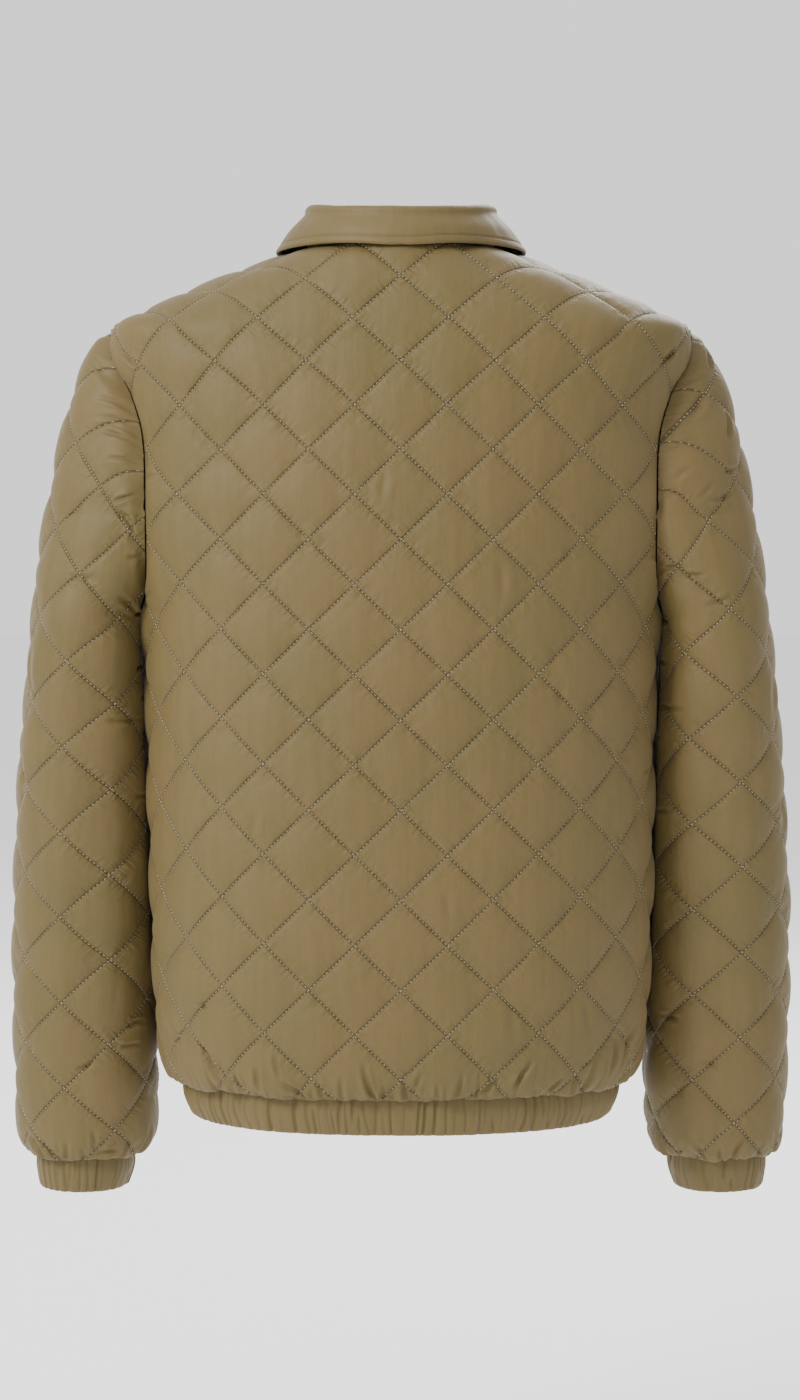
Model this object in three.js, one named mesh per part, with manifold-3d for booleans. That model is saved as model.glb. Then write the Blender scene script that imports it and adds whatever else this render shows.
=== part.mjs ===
// A hip-length jacket of diamond-quilted cloth, zipped up and filled out as if it were worn, but hollow.
// It has a folded shirt collar, plain set-in sleeves, and a gathered elastic band at the hem and at each wrist.
// Millimetres. +Z is up, +X is the wearer's left and -Y is the front.
// The origin is the middle of the neck opening, at the height of the seam at the nape.
import * as THREE from "three";
import { mergeVertices } from "three/addons/utils/BufferGeometryUtils.js";
import Module from "manifold-3d";

const wasm = await Module();
wasm.setup();

// Driving sizes
const SEAM_GAP = 0.3; // between two pieces that are sewn together
const SIDE_Y = 4; // the plane of the side seams, the shoulder seams and the middle of the armholes
const NECK = { radius: 75, centreY: 3 }; // the neck opening, seen from above
const QUILT = { diagonal: 68, rise: 66.4, puff: 6.5, stitch: 2.2 }; // one diamond, and the cloth's thickness
const QUILT_STEPS = 4; // mesh steps along each diagonal of a diamond
const BODY_LATTICE_V = 18; // height of the lowest crossing on the centre back above the hem edge
const FRONT_LATTICE_V = 18;
const SLEEVE_LATTICE_V = { left: 58, right: 31 };
const ARMHOLE = { top: -69, bottom: -282, halfDepth: 54, egg: 0.3 };
const TORSO_POWER = 2.3; // 2 is an ellipse, and more is squarer
const SLEEVE_POWER = 2.15;
const BODY_GATHER_Z = -600; // below this the body is drawn in towards the hem band
const BLADE_Z = -118; // above this the cloth's grain runs straight up to the shoulder seam
const ZIP_OPENING = 5; // from the centre front to the edge of each front

// The body's inner face. The depths are from the plane of the side seams to the back and to the front.
const TORSO = [
  { z: 8, halfWidth: 34, back: 67.5, front: 38 },
  { z: 0, halfWidth: 56, back: 74, front: 45 },
  { z: -8, halfWidth: 75, back: 78, front: 49 },
  { z: -15.5, halfWidth: 97, back: 81, front: 53 },
  { z: -23, halfWidth: 117, back: 84, front: 56.5 },
  { z: -31, halfWidth: 140, back: 87.5, front: 60.5 },
  { z: -44, halfWidth: 170, back: 92.5, front: 67 },
  { z: -56, halfWidth: 197, back: 96.5, front: 73 },
  { z: -69, halfWidth: 220, back: 100.5, front: 80 },
  { z: -90, halfWidth: 218, back: 106, front: 91 },
  { z: -119, halfWidth: 209, back: 111.5, front: 104 },
  { z: -160, halfWidth: 202, back: 117, front: 117 },
  { z: -200, halfWidth: 199, back: 120.5, front: 124 },
  { z: -282, halfWidth: 195.5, back: 123.5, front: 129 },
  { z: -350, halfWidth: 191.5, back: 124, front: 129.5 },
  { z: -430, halfWidth: 189, back: 123.5, front: 129 },
  { z: -520, halfWidth: 187, back: 122.5, front: 127 },
  { z: -580, halfWidth: 184.5, back: 121, front: 123.5 },
  { z: -605, halfWidth: 182.5, back: 119.5, front: 121 },
  { z: -620, halfWidth: 179, back: 117, front: 118 },
  { z: -630, halfWidth: 175, back: 113.5, front: 115.5 },
  { z: -637, halfWidth: 170, back: 109, front: 113 },
];

// The sleeve's inner face: its outer line all the way, and its inner line and half depth below the armhole.
const SLEEVE = [
  { z: -69, outer: 222.5 },
  { z: -80, outer: 231 },
  { z: -100, outer: 241.5 },
  { z: -130, outer: 252 },
  { z: -184, outer: 264 },
  { z: -239, outer: 273 },
  { z: -299, outer: 280 },
  { z: -359, outer: 286.5 },
  { z: -428, outer: 291.8 },
  { z: -510, outer: 295.5 },
  { z: -590, outer: 296.5 },
  { z: -655, outer: 295 },
  { z: -684, outer: 293 },
  { z: -695, outer: 290 },
  { z: -702, outer: 285.7 },
];
const SLEEVE_BELOW = [
  { z: -203, halfDepth: 56.1, midY: SIDE_Y },
  { z: -282, halfDepth: 57, midY: SIDE_Y, inner: 200.7 },
  { z: -300, halfDepth: 57, midY: 3, inner: 203 },
  { z: -320, halfDepth: 56.7, midY: 1, inner: 203 },
  { z: -360, halfDepth: 56, midY: -5, inner: 200.5 },
  { z: -430, halfDepth: 54.5, midY: -14, inner: 197.5 },
  { z: -510, halfDepth: 53, midY: -24, inner: 195.5 },
  { z: -590, halfDepth: 51.5, midY: -31, inner: 194 },
  { z: -655, halfDepth: 50, midY: -35, inner: 193.5 },
  { z: -684, halfDepth: 48, midY: -36, inner: 195 },
  { z: -695, halfDepth: 45, midY: -36.5, inner: 199 },
  { z: -702, halfDepth: 39.7, midY: -37, inner: 206.3 },
];

// The hem band's and the cuffs' inner faces
const HEM_BAND = [
  { z: -627, halfWidth: 162.7, back: 103.7, front: 107.7 },
  { z: -645, halfWidth: 164.2, back: 104.7, front: 108.7 },
  { z: -663, halfWidth: 157.5, back: 99.5, front: 104.5 },
];
const HEM_TILT = 2.4; // how much lower the band is at the back
const CUFF = [
  { z: -694, halfWidth: 35, halfDepth: 35, x: 246, y: -37 },
  { z: -710, halfWidth: 35.5, halfDepth: 35.5, x: 246, y: -37 },
  { z: -730, halfWidth: 31, halfDepth: 31, x: 247.5, y: -38 },
];
const BAND = { wall: 2, gather: 2 }; // thickness between the gathers, and the height of a gather
const HEM_GATHERS = 80;
const CUFF_GATHERS = 24;

// The collar, from the nape round to one front end: the height of its fold, and where its edge lies on the
// shoulder or chest, as an angle round the neck and a distance from its middle.
const COLLAR = [
  { angle: 0, foldZ: 24.4, foldRadius: 73, edgeAngle: 0, edgeRadius: 80 },
  { angle: 40, foldZ: 25.8, foldRadius: 72, edgeAngle: 42, edgeRadius: 83 },
  { angle: 75, foldZ: 28.4, foldRadius: 70, edgeAngle: 75, edgeRadius: 90 },
  { angle: 100, foldZ: 23, foldRadius: 69, edgeAngle: 97, edgeRadius: 94 },
  { angle: 130, foldZ: 0, foldRadius: 69, edgeAngle: 122, edgeRadius: 96 },
  { angle: 155, foldZ: -24, foldRadius: 69, edgeAngle: 140, edgeRadius: 99 },
  { angle: 176.5, foldZ: -42, foldRadius: 69, edgeAngle: 154, edgeRadius: 106 },
];
const COLLAR_WALL = 3.2;
const COLLAR_FOLD = 3.6; // radius of the fold, at the middle of the cloth
const COLLAR_LIFT = 9; // height of the edge's middle above the body's inner face
const COLLAR_CLEAR = 12; // least height of the fall's middle above the body's inner face
const COLLAR_TUCK = 4; // how far the stand reaches below the neck seam

// The zip: heights above the fronts' inner face are in its own frame of across, along and out
const ZIP = {
  tape: { halfWidth: 13.5, narrow: 4.6, inner: -2.3, outer: -1.1, narrowFrom: -606 },
  chain: { halfWidth: 2.9, inner: -0.8, outer: 2.2 },
  stopLength: 3,
  boxLength: 9,
  topZ: -71,
  sliderZ: -86,
  bottomZ: -661,
};
const SLIDER = { length: 12, topWidth: 9, bottomWidth: 7.4, wall: 1.5, flange: 0.9 };
const BAIL = { width: 2, length: 10.4, wall: 1.5, height: 4.4, window: 3.1 };
const PULL = { length: 30, eyeWidth: 7.6, endWidth: 6.4, wall: 1.4, slotHalf: 1.9, slotEnd: 7.2 };

const COLOURS = { cloth: 0x8a774f, band: 0x867349, tape: 0x6f6140, metal: 0x55503f };

// A smooth curve through one column of a table, as a function of its first column, which never overshoots.
function curveOf(table, column, key = "z") {
  const rows = table.filter((row) => row[column] !== undefined).sort((a, b) => a[key] - b[key]);
  const x = rows.map((row) => row[key]);
  const y = rows.map((row) => row[column]);
  const slope = y.slice(1).map((value, i) => (value - y[i]) / (x[i + 1] - x[i]));
  const tangent = y.map((_, i) => {
    if (i === 0) return slope[0];
    if (i === y.length - 1) return slope[i - 1];
    const product = slope[i - 1] * slope[i];
    return product > 0 ? (2 * product) / (slope[i - 1] + slope[i]) : 0;
  });
  return (at) => {
    const clamped = Math.min(Math.max(at, x[0]), x[x.length - 1]);
    let i = 0;
    while (i < x.length - 2 && clamped > x[i + 1]) i += 1;
    const width = x[i + 1] - x[i];
    const t = (clamped - x[i]) / width;
    const rise = y[i + 1] - y[i];
    const bend = (1 - t) * (tangent[i] * width - rise) - t * (tangent[i + 1] * width - rise);
    return y[i] + t * rise + t * (1 - t) * bend;
  };
}

// Where a value lies in a rising list, as a fractional index.
function indexOf(list, value) {
  let low = 0;
  let high = list.length - 1;
  while (high - low > 1) {
    const middle = (low + high) >> 1;
    if (list[middle] <= value) low = middle;
    else high = middle;
  }
  const share = (value - list[low]) / Math.max(list[high] - list[low], 1e-9);
  return low + Math.min(Math.max(share, 0), 1);
}

// A list's value at a fractional index.
function at(list, index) {
  const i = Math.min(Math.floor(index), list.length - 2);
  return list[i] + (list[i + 1] - list[i]) * (index - i);
}

function evenly(from, to, count) {
  return Array.from({ length: count + 1 }, (_, i) => from + ((to - from) * i) / count);
}

// The same, but with the values closest together at both ends.
function closeAtEnds(from, to, count) {
  return evenly(0, Math.PI, count).map((turn) => from + ((to - from) * (1 - Math.cos(turn))) / 2);
}

// A worn form that flat cloth is laid on. Its level sections are ovals. A point of the flat cloth is u along the
// section from the form's middle line, v up that line from the bottom edge, and n out from the form's face.
// Above the grain level, a line of constant u keeps its place across the form and runs up until the form ends.
class Form {
  constructor({ width, depth, farDepth = depth, power, bottom, top, grain, reach, gatherBelow, spread, place }) {
    Object.assign(this, { width, depth, farDepth, power, bottom, top, grain, reach, place });
    this.spread = spread ?? (() => 1);
    const gatheredLength = gatherBelow === undefined ? 0 : this.arc(gatherBelow, reach);
    this.gather = (z) => (z < gatherBelow ? this.arc(z, reach) / gatheredLength : 1);
    this.lineZ = evenly(bottom, grain, Math.ceil((grain - bottom) / 2));
    this.lineV = this.lengths(this.lineZ.map((z) => this.onSection(0, z)));
    this.grainV = this.lineV[this.lineV.length - 1];
    this.columns = new Map();
  }

  lengths(points) {
    let total = 0;
    return points.map((p, i) => (total += i ? p.distanceTo(points[i - 1]) : 0));
  }

  acrossOf(phi, z) {
    const s = Math.sin(phi);
    return this.width(z) * Math.abs(s) ** (2 / this.power) * Math.sign(s);
  }

  onSection(phi, z) {
    const c = Math.cos(phi);
    const depth = c < 0 ? this.farDepth(z) : this.depth(z);
    return this.place(this.acrossOf(phi, z), depth * Math.abs(c) ** (2 / this.power) * Math.sign(c), z);
  }

  sectionTable(z) {
    const phis = evenly(0, this.reach, 72);
    return { phis, lengths: this.lengths(phis.map((phi) => this.onSection(phi, z))) };
  }

  arc(z, phi) {
    const { phis, lengths } = this.sectionTable(z);
    return at(lengths, indexOf(phis, phi));
  }

  phiAt(z, arc) {
    const { phis, lengths } = this.sectionTable(z);
    return at(phis, indexOf(lengths, arc));
  }

  // The rising line of constant u above the grain level: its heights, points and lengths.
  column(u) {
    const key = u.toFixed(3);
    if (this.columns.has(key)) return this.columns.get(key);
    const across = Math.abs(this.acrossOf(this.phiAt(this.grain, Math.abs(u)), this.grain));
    let low = this.grain;
    let high = this.top;
    if (this.width(high) < across * this.spread(high)) {
      for (let i = 0; i < 40; i += 1) {
        const middle = (low + high) / 2;
        if (this.width(middle) < across * this.spread(middle)) high = middle;
        else low = middle;
      }
    } else low = high;
    const zs = evenly(0, 1, 28).map((t) => this.grain + (low - this.grain) * (1 - (1 - t) ** 2));
    const points = zs.map((z) => {
      const share = Math.min((across * this.spread(z)) / this.width(z), 1);
      return this.onSection(Math.asin(share ** (this.power / 2)) * Math.sign(u || 1), z);
    });
    const made = { zs, points, lengths: this.lengths(points) };
    this.columns.set(key, made);
    return made;
  }

  face(u, v) {
    if (v <= this.grainV || this.grain >= this.top) {
      const z = at(this.lineZ, indexOf(this.lineV, v));
      return this.onSection(this.phiAt(z, Math.abs(u) * this.gather(z)) * Math.sign(u), z);
    }
    const { points, lengths } = this.column(u);
    const index = indexOf(lengths, v - this.grainV);
    const i = Math.min(Math.floor(index), points.length - 2);
    return points[i].clone().lerp(points[i + 1], index - i);
  }

  point(u, v, n) {
    const step = 0.7;
    const above = this.grain < this.top ? v + step : Math.min(v + step, this.grainV);
    const along = this.face(u, above).sub(this.face(u, v - step));
    const across = this.face(u + step, v).sub(this.face(u - step, v));
    return this.face(u, v).addScaledVector(across.cross(along).normalize(), n);
  }

  // The flat place of the point at an angle round the section at height z.
  flat(phi, z) {
    if (z <= this.grain) return [this.arc(z, phi) / this.gather(z), at(this.lineV, indexOf(this.lineZ, z))];
    const across = this.acrossOf(phi, z) / this.spread(z);
    const share = Math.min(across / this.width(this.grain), 1);
    const u = this.arc(this.grain, Math.asin(share ** (this.power / 2)));
    const { zs, lengths } = this.column(u);
    return [u, this.grainV + at(lengths, indexOf(zs, z))];
  }
}

const torsoWidth = curveOf(TORSO, "halfWidth");
const torsoBack = curveOf(TORSO, "back");
const torsoFront = curveOf(TORSO, "front");

function torsoForm(depth, sideways, outwards) {
  const shoulderSpread = torsoWidth(ARMHOLE.top) / torsoWidth(BLADE_Z);
  return new Form({
    width: torsoWidth,
    depth,
    power: TORSO_POWER,
    bottom: TORSO[TORSO.length - 1].z,
    top: TORSO[0].z,
    grain: BLADE_Z,
    reach: Math.PI / 2,
    gatherBelow: BODY_GATHER_Z,
    spread: (z) => 1 + (shoulderSpread - 1) * THREE.MathUtils.smoothstep(z, BLADE_Z, ARMHOLE.top),
    place: (across, out, z) => new THREE.Vector3(sideways * across, SIDE_Y + outwards * out, z),
  });
}
const backForm = torsoForm(torsoBack, -1, 1);
const frontForm = torsoForm(torsoFront, 1, -1);

// Half the armhole's opening from front to back, at a height.
function armholeHalf(z) {
  const middle = (ARMHOLE.top + ARMHOLE.bottom) / 2;
  const c = Math.min(Math.max((z - middle) / ((ARMHOLE.top - ARMHOLE.bottom) / 2), -1), 1);
  return ARMHOLE.halfDepth * Math.sqrt(1 - c * c) * (1 - ARMHOLE.egg * c);
}

// The angle on a body section, from its middle line, of the armhole's edge.
function armholePhi(form, z) {
  return Math.acos(Math.min(armholeHalf(z) / form.depth(z), 1) ** (form.power / 2));
}

const SLEEVE_GRAIN_Z = -203; // the armhole is deepest here
const sleeveOuter = curveOf(SLEEVE, "outer");
const sleeveInner = curveOf(SLEEVE_BELOW, "inner");
const sleeveHalfDepth = curveOf(SLEEVE_BELOW, "halfDepth");
const sleeveMidY = curveOf(SLEEVE_BELOW, "midY");

// The sleeve's section at a height: how far it is open towards the armhole, its half width and its middle.
function sleeveSection(z) {
  const outer = sleeveOuter(z);
  if (z < ARMHOLE.bottom) {
    const inner = sleeveInner(z);
    return { halfWidth: (outer - inner) / 2, x: (outer + inner) / 2, halfDepth: sleeveHalfDepth(z) };
  }
  const edge = armholeHalf(z);
  const halfDepth = z > SLEEVE_GRAIN_Z ? edge : sleeveHalfDepth(z);
  const beyond = Math.max(1 - Math.min(edge / halfDepth, 1) ** SLEEVE_POWER, 0) ** (1 / SLEEVE_POWER);
  const seat = QUILT.stitch + SEAM_GAP + 2.7 * beyond;
  const share = Math.min(edge / torsoBack(z), 1) ** TORSO_POWER;
  const onBody = torsoWidth(z) * (1 - share) ** (1 / TORSO_POWER);
  const halfWidth = (outer - onBody - seat) / (1 + beyond);
  return { halfWidth: Math.max(halfWidth, 0.5), x: outer - halfWidth, halfDepth, edge };
}

function sleeveForm(side) {
  return new Form({
    width: (z) => sleeveSection(z).halfDepth,
    depth: (z) => sleeveSection(z).halfWidth,
    power: SLEEVE_POWER,
    bottom: SLEEVE[SLEEVE.length - 1].z,
    top: ARMHOLE.top - 0.4,
    grain: SLEEVE_GRAIN_Z,
    reach: Math.PI,
    gatherBelow: -684,
    place: (across, out, z) => {
      const { x } = sleeveSection(z);
      return new THREE.Vector3(side * (x + out), sleeveMidY(z) + side * across, z);
    },
  });
}
const sleeveForms = { left: sleeveForm(1), right: sleeveForm(-1) };

// Triangles between two lines of points that run the same way, given as [index, distance along].
function strip(upper, lower, faces) {
  let i = 0;
  let j = 0;
  while (i < upper.length - 1 || j < lower.length - 1) {
    const nextUpper = i < upper.length - 1 ? upper[i + 1][1] : Infinity;
    const nextLower = j < lower.length - 1 ? lower[j + 1][1] : Infinity;
    if (nextLower <= nextUpper) {
      faces.push(lower[j][0], lower[j + 1][0], upper[i][0]);
      j += 1;
    } else {
      faces.push(lower[j][0], upper[i + 1][0], upper[i][0]);
      i += 1;
    }
  }
}

// A flat slab as a solid: a fine outer grid at the given height over a coarser inner grid.
function slab(outer, inner, height) {
  const points = [];
  const faces = [];
  const layers = [outer, inner].map((grid, layer) =>
    grid.us.map((u, i) =>
      grid.vs.map((v, j) => {
        // the inner face's points alternate by a hair, so that none is merged away as flat
        const n = layer ? 0.04 * ((i + j) % 2) : height(u, v);
        points.push(u, v, n);
        return points.length / 3 - 1;
      }),
    ),
  );
  layers.forEach((rows, layer) => {
    for (let i = 0; i < rows.length - 1; i += 1) {
      for (let j = 0; j < rows[0].length - 1; j += 1) {
        const [a, b, c, d] = [rows[i][j], rows[i + 1][j], rows[i + 1][j + 1], rows[i][j + 1]];
        const quad = (i + j) % 2 ? [a, b, d, b, c, d] : [a, b, c, a, c, d];
        faces.push(...(layer ? quad.reverse() : quad));
      }
    }
  });
  const sides = layers.map((rows, layer) => {
    const { us, vs } = layer ? inner : outer;
    const lastU = us.length - 1;
    const lastV = vs.length - 1;
    return [
      us.map((u, i) => [rows[i][0], u - us[0]]),
      vs.map((v, j) => [rows[lastU][j], v - vs[0]]),
      us.map((_, i) => [rows[lastU - i][lastV], us[lastU] - us[lastU - i]]),
      vs.map((_, j) => [rows[0][lastV - j], vs[lastV] - vs[lastV - j]]),
    ];
  });
  sides[0].forEach((line, k) => strip(line, sides[1][k], faces));
  return new wasm.Manifold(
    new wasm.Mesh({ numProp: 3, vertProperties: new Float32Array(points), triVerts: new Uint32Array(faces) }),
  );
}

function solidOf(geometry) {
  const bare = geometry.clone();
  bare.deleteAttribute("normal");
  bare.deleteAttribute("uv");
  const merged = mergeVertices(bare, 1e-4);
  return new wasm.Manifold(
    new wasm.Mesh({
      numProp: 3,
      vertProperties: new Float32Array(merged.attributes.position.array),
      triVerts: new Uint32Array(merged.index.array),
    }),
  );
}

function geometryOf(solid) {
  const { numProp, vertProperties, triVerts } = solid.getMesh();
  const positions = new Float32Array((vertProperties.length / numProp) * 3);
  for (let i = 0; i < positions.length / 3; i += 1) {
    positions.set(vertProperties.subarray(i * numProp, i * numProp + 3), i * 3);
  }
  const geometry = new THREE.BufferGeometry();
  geometry.setAttribute("position", new THREE.BufferAttribute(positions, 3));
  geometry.setIndex(new THREE.BufferAttribute(new Uint32Array(triVerts), 1));
  return geometry;
}

// A flat solid with every point carried by a function of its u, v and n.
function bent(solid, carry) {
  const geometry = geometryOf(solid);
  const { array } = geometry.attributes.position;
  for (let i = 0; i < array.length; i += 3) {
    carry(array[i], array[i + 1], array[i + 2]).toArray(array, i);
  }
  return geometry;
}

function cutTo(solid, outline) {
  const shape = new THREE.Shape(outline.map(([u, v]) => new THREE.Vector2(u, v)));
  const prism = new THREE.ExtrudeGeometry(shape, { depth: 40, bevelEnabled: false }).translate(0, 0, -20);
  return solid.intersect(solidOf(prism));
}

function distanceTo(outline, u, v) {
  let least = Infinity;
  outline.forEach(([u0, v0], i) => {
    const [u1, v1] = outline[(i + 1) % outline.length];
    const along = ((u - u0) * (u1 - u0) + (v - v0) * (v1 - v0)) / ((u1 - u0) ** 2 + (v1 - v0) ** 2 || 1);
    const t = Math.min(Math.max(along, 0), 1);
    least = Math.min(least, Math.hypot(u - u0 - t * (u1 - u0), v - v0 - t * (v1 - v0)));
  });
  return least;
}

// How far a quilted diamond stands out at a point: 0 on the stitching and 1 in the middle.
function pillow(u, v) {
  const across = u / QUILT.diagonal;
  const up = v / QUILT.rise;
  const side = (t) => 1 - Math.abs(2 * (t - Math.floor(t)) - 1) ** 2.4;
  return side(across + up) * side(across - up);
}

// Grid lines a step apart that take in the crossing at `through`, and reach past both ends.
function lines(low, high, step, through) {
  const first = Math.floor((low - through) / step) - 1;
  const last = Math.ceil((high - through) / step) + 1;
  return Array.from({ length: last - first + 1 }, (_, i) => through + (first + i) * step);
}

// Every few of the lines, and all of them within a distance of each end, where the form bends most.
function thinned(all, every, low, high, closeLow = 0, closeHigh = 0) {
  return all.filter(
    (v, i) => i === 0 || i === all.length - 1 || i % every === 0 || v < low + closeLow || v > high - closeHigh,
  );
}

// A quilted panel: quilted flat, cut to its outline, and laid on the form.
function quiltedPanel(form, outline, latticeV, { thin, extra = 0, innerFace = 0 }) {
  const us = outline.map(([u]) => u);
  const vs = outline.map(([, v]) => v);
  const [lowU, highU, lowV, highV] = [Math.min(...us), Math.max(...us), Math.min(...vs), Math.max(...vs)];
  const stepU = QUILT.diagonal / QUILT_STEPS;
  const stepV = QUILT.rise / QUILT_STEPS;
  const outer = { us: lines(lowU, highU, stepU, 0), vs: lines(lowV, highV, stepV, latticeV) };
  const parity = Math.round(outer.us[0] / stepU + (outer.vs[0] - latticeV) / stepV);
  if (parity % 2) outer.us.unshift(outer.us[0] - stepU);
  const inner = {
    us: thinned(outer.us, thin.u, lowU, highU),
    vs: thinned(outer.vs, thin.v, lowV, highV, thin.closeLow, thin.closeHigh),
  };
  const height = (u, v) => QUILT.stitch + (QUILT.puff - QUILT.stitch) * pillow(u, v - latticeV);
  const flat = cutTo(slab(outer, inner, height), outline);
  return bent(flat, (u, v, n) => {
    if (n < 1) return form.point(u, v, innerFace);
    const swell = THREE.MathUtils.smoothstep(distanceTo(outline, u, v), 0.5, 13);
    return form.point(u, v, QUILT.stitch + (n - QUILT.stitch) * swell + extra);
  });
}

// The flat outline of half the back, or of one front: hem, side seam, armhole, shoulder seam and neck.
// A whole outline has no armhole.
function bodyOutline(form, gap, whole = false) {
  const points = [];
  const side = (z, phi, du, dv) => {
    const [u, v] = form.flat(phi, z);
    points.push([u - du, v - dv]);
  };
  const bottom = form.bottom;
  closeAtEnds(bottom, ARMHOLE.bottom - 1, 14).forEach((z) => side(z, Math.PI / 2, gap / 2, 0));
  evenly(Math.PI, 0, 16).slice(1, -1).forEach((turn) => {
    const z = (ARMHOLE.top + ARMHOLE.bottom) / 2 + ((ARMHOLE.top - ARMHOLE.bottom) / 2) * Math.cos(turn);
    side(z, whole ? Math.PI / 2 : armholePhi(form, z), whole ? gap / 2 : 0, 0);
  });
  const neckSide = neckPoint(form, Math.PI / 2, 0.3);
  evenly(ARMHOLE.top + 0.5, neckSide.z, 7).slice(0, -1).forEach((z) => side(z, Math.PI / 2, 0, gap / 2));
  evenly(Math.PI / 2, 0, 8).forEach((turn, i) => {
    const { phi, z } = neckPoint(form, turn, 0.3);
    side(z, phi, 0, i ? 0 : gap / 2);
  });
  return points;
}

// Where the neck opening, grown by `grow`, cuts the body: turn is 0 at the form's middle line.
function neckPoint(form, turn, grow) {
  const forward = Math.sign(form.place(0, 1, 0).y - SIDE_Y);
  const x = (NECK.radius + grow) * Math.sin(turn);
  const out = Math.max(forward * (NECK.centreY - SIDE_Y) + (NECK.radius + grow) * Math.cos(turn), 0);
  let low = -150;
  let high = TORSO[0].z;
  for (let i = 0; i < 50; i += 1) {
    const z = (low + high) / 2;
    const share = (x / form.width(z)) ** form.power + (out / form.depth(z)) ** form.power;
    if (share < 1) low = z;
    else high = z;
  }
  return { z: low, phi: Math.atan2((x / form.width(low)) ** (form.power / 2), (out / form.depth(low)) ** (form.power / 2)) };
}

function mirrored(half) {
  return [...half, ...half.slice().reverse().map(([u, v]) => [-u, v])];
}

function backOutline(gap, whole) {
  return mirrored(bodyOutline(backForm, gap, whole));
}

function frontOutline(gap, whole) {
  const half = bodyOutline(frontForm, gap, whole);
  const topV = half[half.length - 1][1];
  half[half.length - 1] = [ZIP_OPENING, topV];
  return [...half, [ZIP_OPENING, 0]];
}

// The inner face's grid: every how many lines are kept, and all within these distances of the ends.
const THIN_BACK = { u: 2, v: 5, closeLow: 24, closeHigh: 60 };
const THIN_FRONT = { u: 2, v: 3, closeLow: 24, closeHigh: 130 };
const THIN_SLEEVE = { u: 1, v: 6, closeLow: 24, closeHigh: 110 };

function backPanel(options = {}, gap = SEAM_GAP, whole = false) {
  return quiltedPanel(backForm, backOutline(gap, whole), BODY_LATTICE_V, { thin: THIN_BACK, ...options });
}

function frontPanel(side, options = {}, gap = SEAM_GAP, whole = false) {
  const outline = frontOutline(gap, whole).map(([u, v]) => [side * u, v]);
  if (side < 0) outline.reverse();
  return quiltedPanel(frontForm, outline, FRONT_LATTICE_V, { thin: THIN_FRONT, ...options });
}

// The flat outline of a sleeve: wrist edge, inside seam and sleeve head.
function sleeveOutline(form) {
  const half = [];
  closeAtEnds(form.bottom, ARMHOLE.bottom, 18).forEach((z) => {
    const [u, v] = form.flat(Math.PI, z);
    half.push([u - SEAM_GAP * 0.8, v]);
  });
  evenly(Math.PI, 0, 18).slice(1).forEach((turn) => {
    const z = (ARMHOLE.top + ARMHOLE.bottom) / 2 + ((ARMHOLE.top - ARMHOLE.bottom) / 2) * Math.cos(turn);
    if (z > SLEEVE_GRAIN_Z) {
      half.push(form.flat(Math.PI / 2, Math.min(z, form.top)));
    } else {
      const { halfDepth, edge } = sleeveSection(z);
      half.push(form.flat(Math.PI - Math.asin((edge / halfDepth) ** (form.power / 2)), z));
    }
  });
  half[half.length - 1][0] = 0;
  return [...half.slice(0, -1), ...half.slice().reverse().map(([u, v]) => [-u, v])];
}

// A sleeve, cut back where it meets the body.
function sleeve(side, body) {
  const form = sleeveForms[side];
  const thin = THIN_SLEEVE;
  const whole = solidOf(quiltedPanel(form, sleeveOutline(form), SLEEVE_LATTICE_V[side], { thin }));
  const pieces = whole.subtract(body).decompose();
  return geometryOf(pieces.sort((a, b) => b.volume() - a.volume())[0].simplify(0.08));
}

// The body's outer face a seam's gap further out, with no armholes and no gaps at its seams.
function bodyWithClearance() {
  const options = { extra: SEAM_GAP, innerFace: -14 };
  return [backPanel(options, -0.3, true), frontPanel(1, options, -0.3, true), frontPanel(-1, options, -0.3, true)]
    .map(solidOf)
    .reduce((all, solid) => all.add(solid));
}

// A gathered band: a strip with upright ridges on its outer face, rolled on its form.
function gatheredBand(form, halfLength, gathers) {
  const step = (2 * halfLength) / (2 * gathers);
  const [height] = form.lineV.slice(-1);
  const outer = { us: evenly(-halfLength, halfLength, 2 * gathers), vs: [0, height / 2, height] };
  const inner = { us: evenly(-halfLength, halfLength, Math.ceil(gathers / 2)), vs: [0, height / 2, height] };
  const ridge = (u) => {
    const k = Math.round((u + halfLength) / step);
    return k % 2 ? BAND.gather * (0.72 + 0.28 * Math.sin(2.3 * k)) : 0;
  };
  return bent(slab(outer, inner, (u) => BAND.wall + ridge(u)), (u, v, n) => form.point(u, v, n < 1 ? 0 : n));
}

function hemBand() {
  const form = new Form({
    width: curveOf(HEM_BAND, "halfWidth"),
    depth: curveOf(HEM_BAND, "back"),
    farDepth: curveOf(HEM_BAND, "front"),
    power: TORSO_POWER,
    bottom: HEM_BAND[2].z,
    top: HEM_BAND[0].z,
    grain: HEM_BAND[0].z,
    reach: Math.PI,
    gatherBelow: HEM_BAND[0].z,
    place: (across, out, z) =>
      new THREE.Vector3(-across, SIDE_Y + out, z - (HEM_TILT * out) / HEM_BAND[0].back),
  });
  return gatheredBand(form, form.arc(HEM_BAND[0].z, Math.PI) - ZIP_OPENING - 0.3, HEM_GATHERS);
}

function cuff(side) {
  const x = curveOf(CUFF, "x");
  const y = curveOf(CUFF, "y");
  const form = new Form({
    width: curveOf(CUFF, "halfDepth"),
    depth: curveOf(CUFF, "halfWidth"),
    power: 2,
    bottom: CUFF[2].z,
    top: CUFF[0].z,
    grain: CUFF[0].z,
    gatherBelow: CUFF[0].z,
    reach: Math.PI,
    place: (across, out, z) => new THREE.Vector3(side * (x(z) + out), y(z) + side * across, z),
  });
  return gatheredBand(form, form.arc(CUFF[0].z, Math.PI) - SEAM_GAP / 2, CUFF_GATHERS);
}

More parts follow.
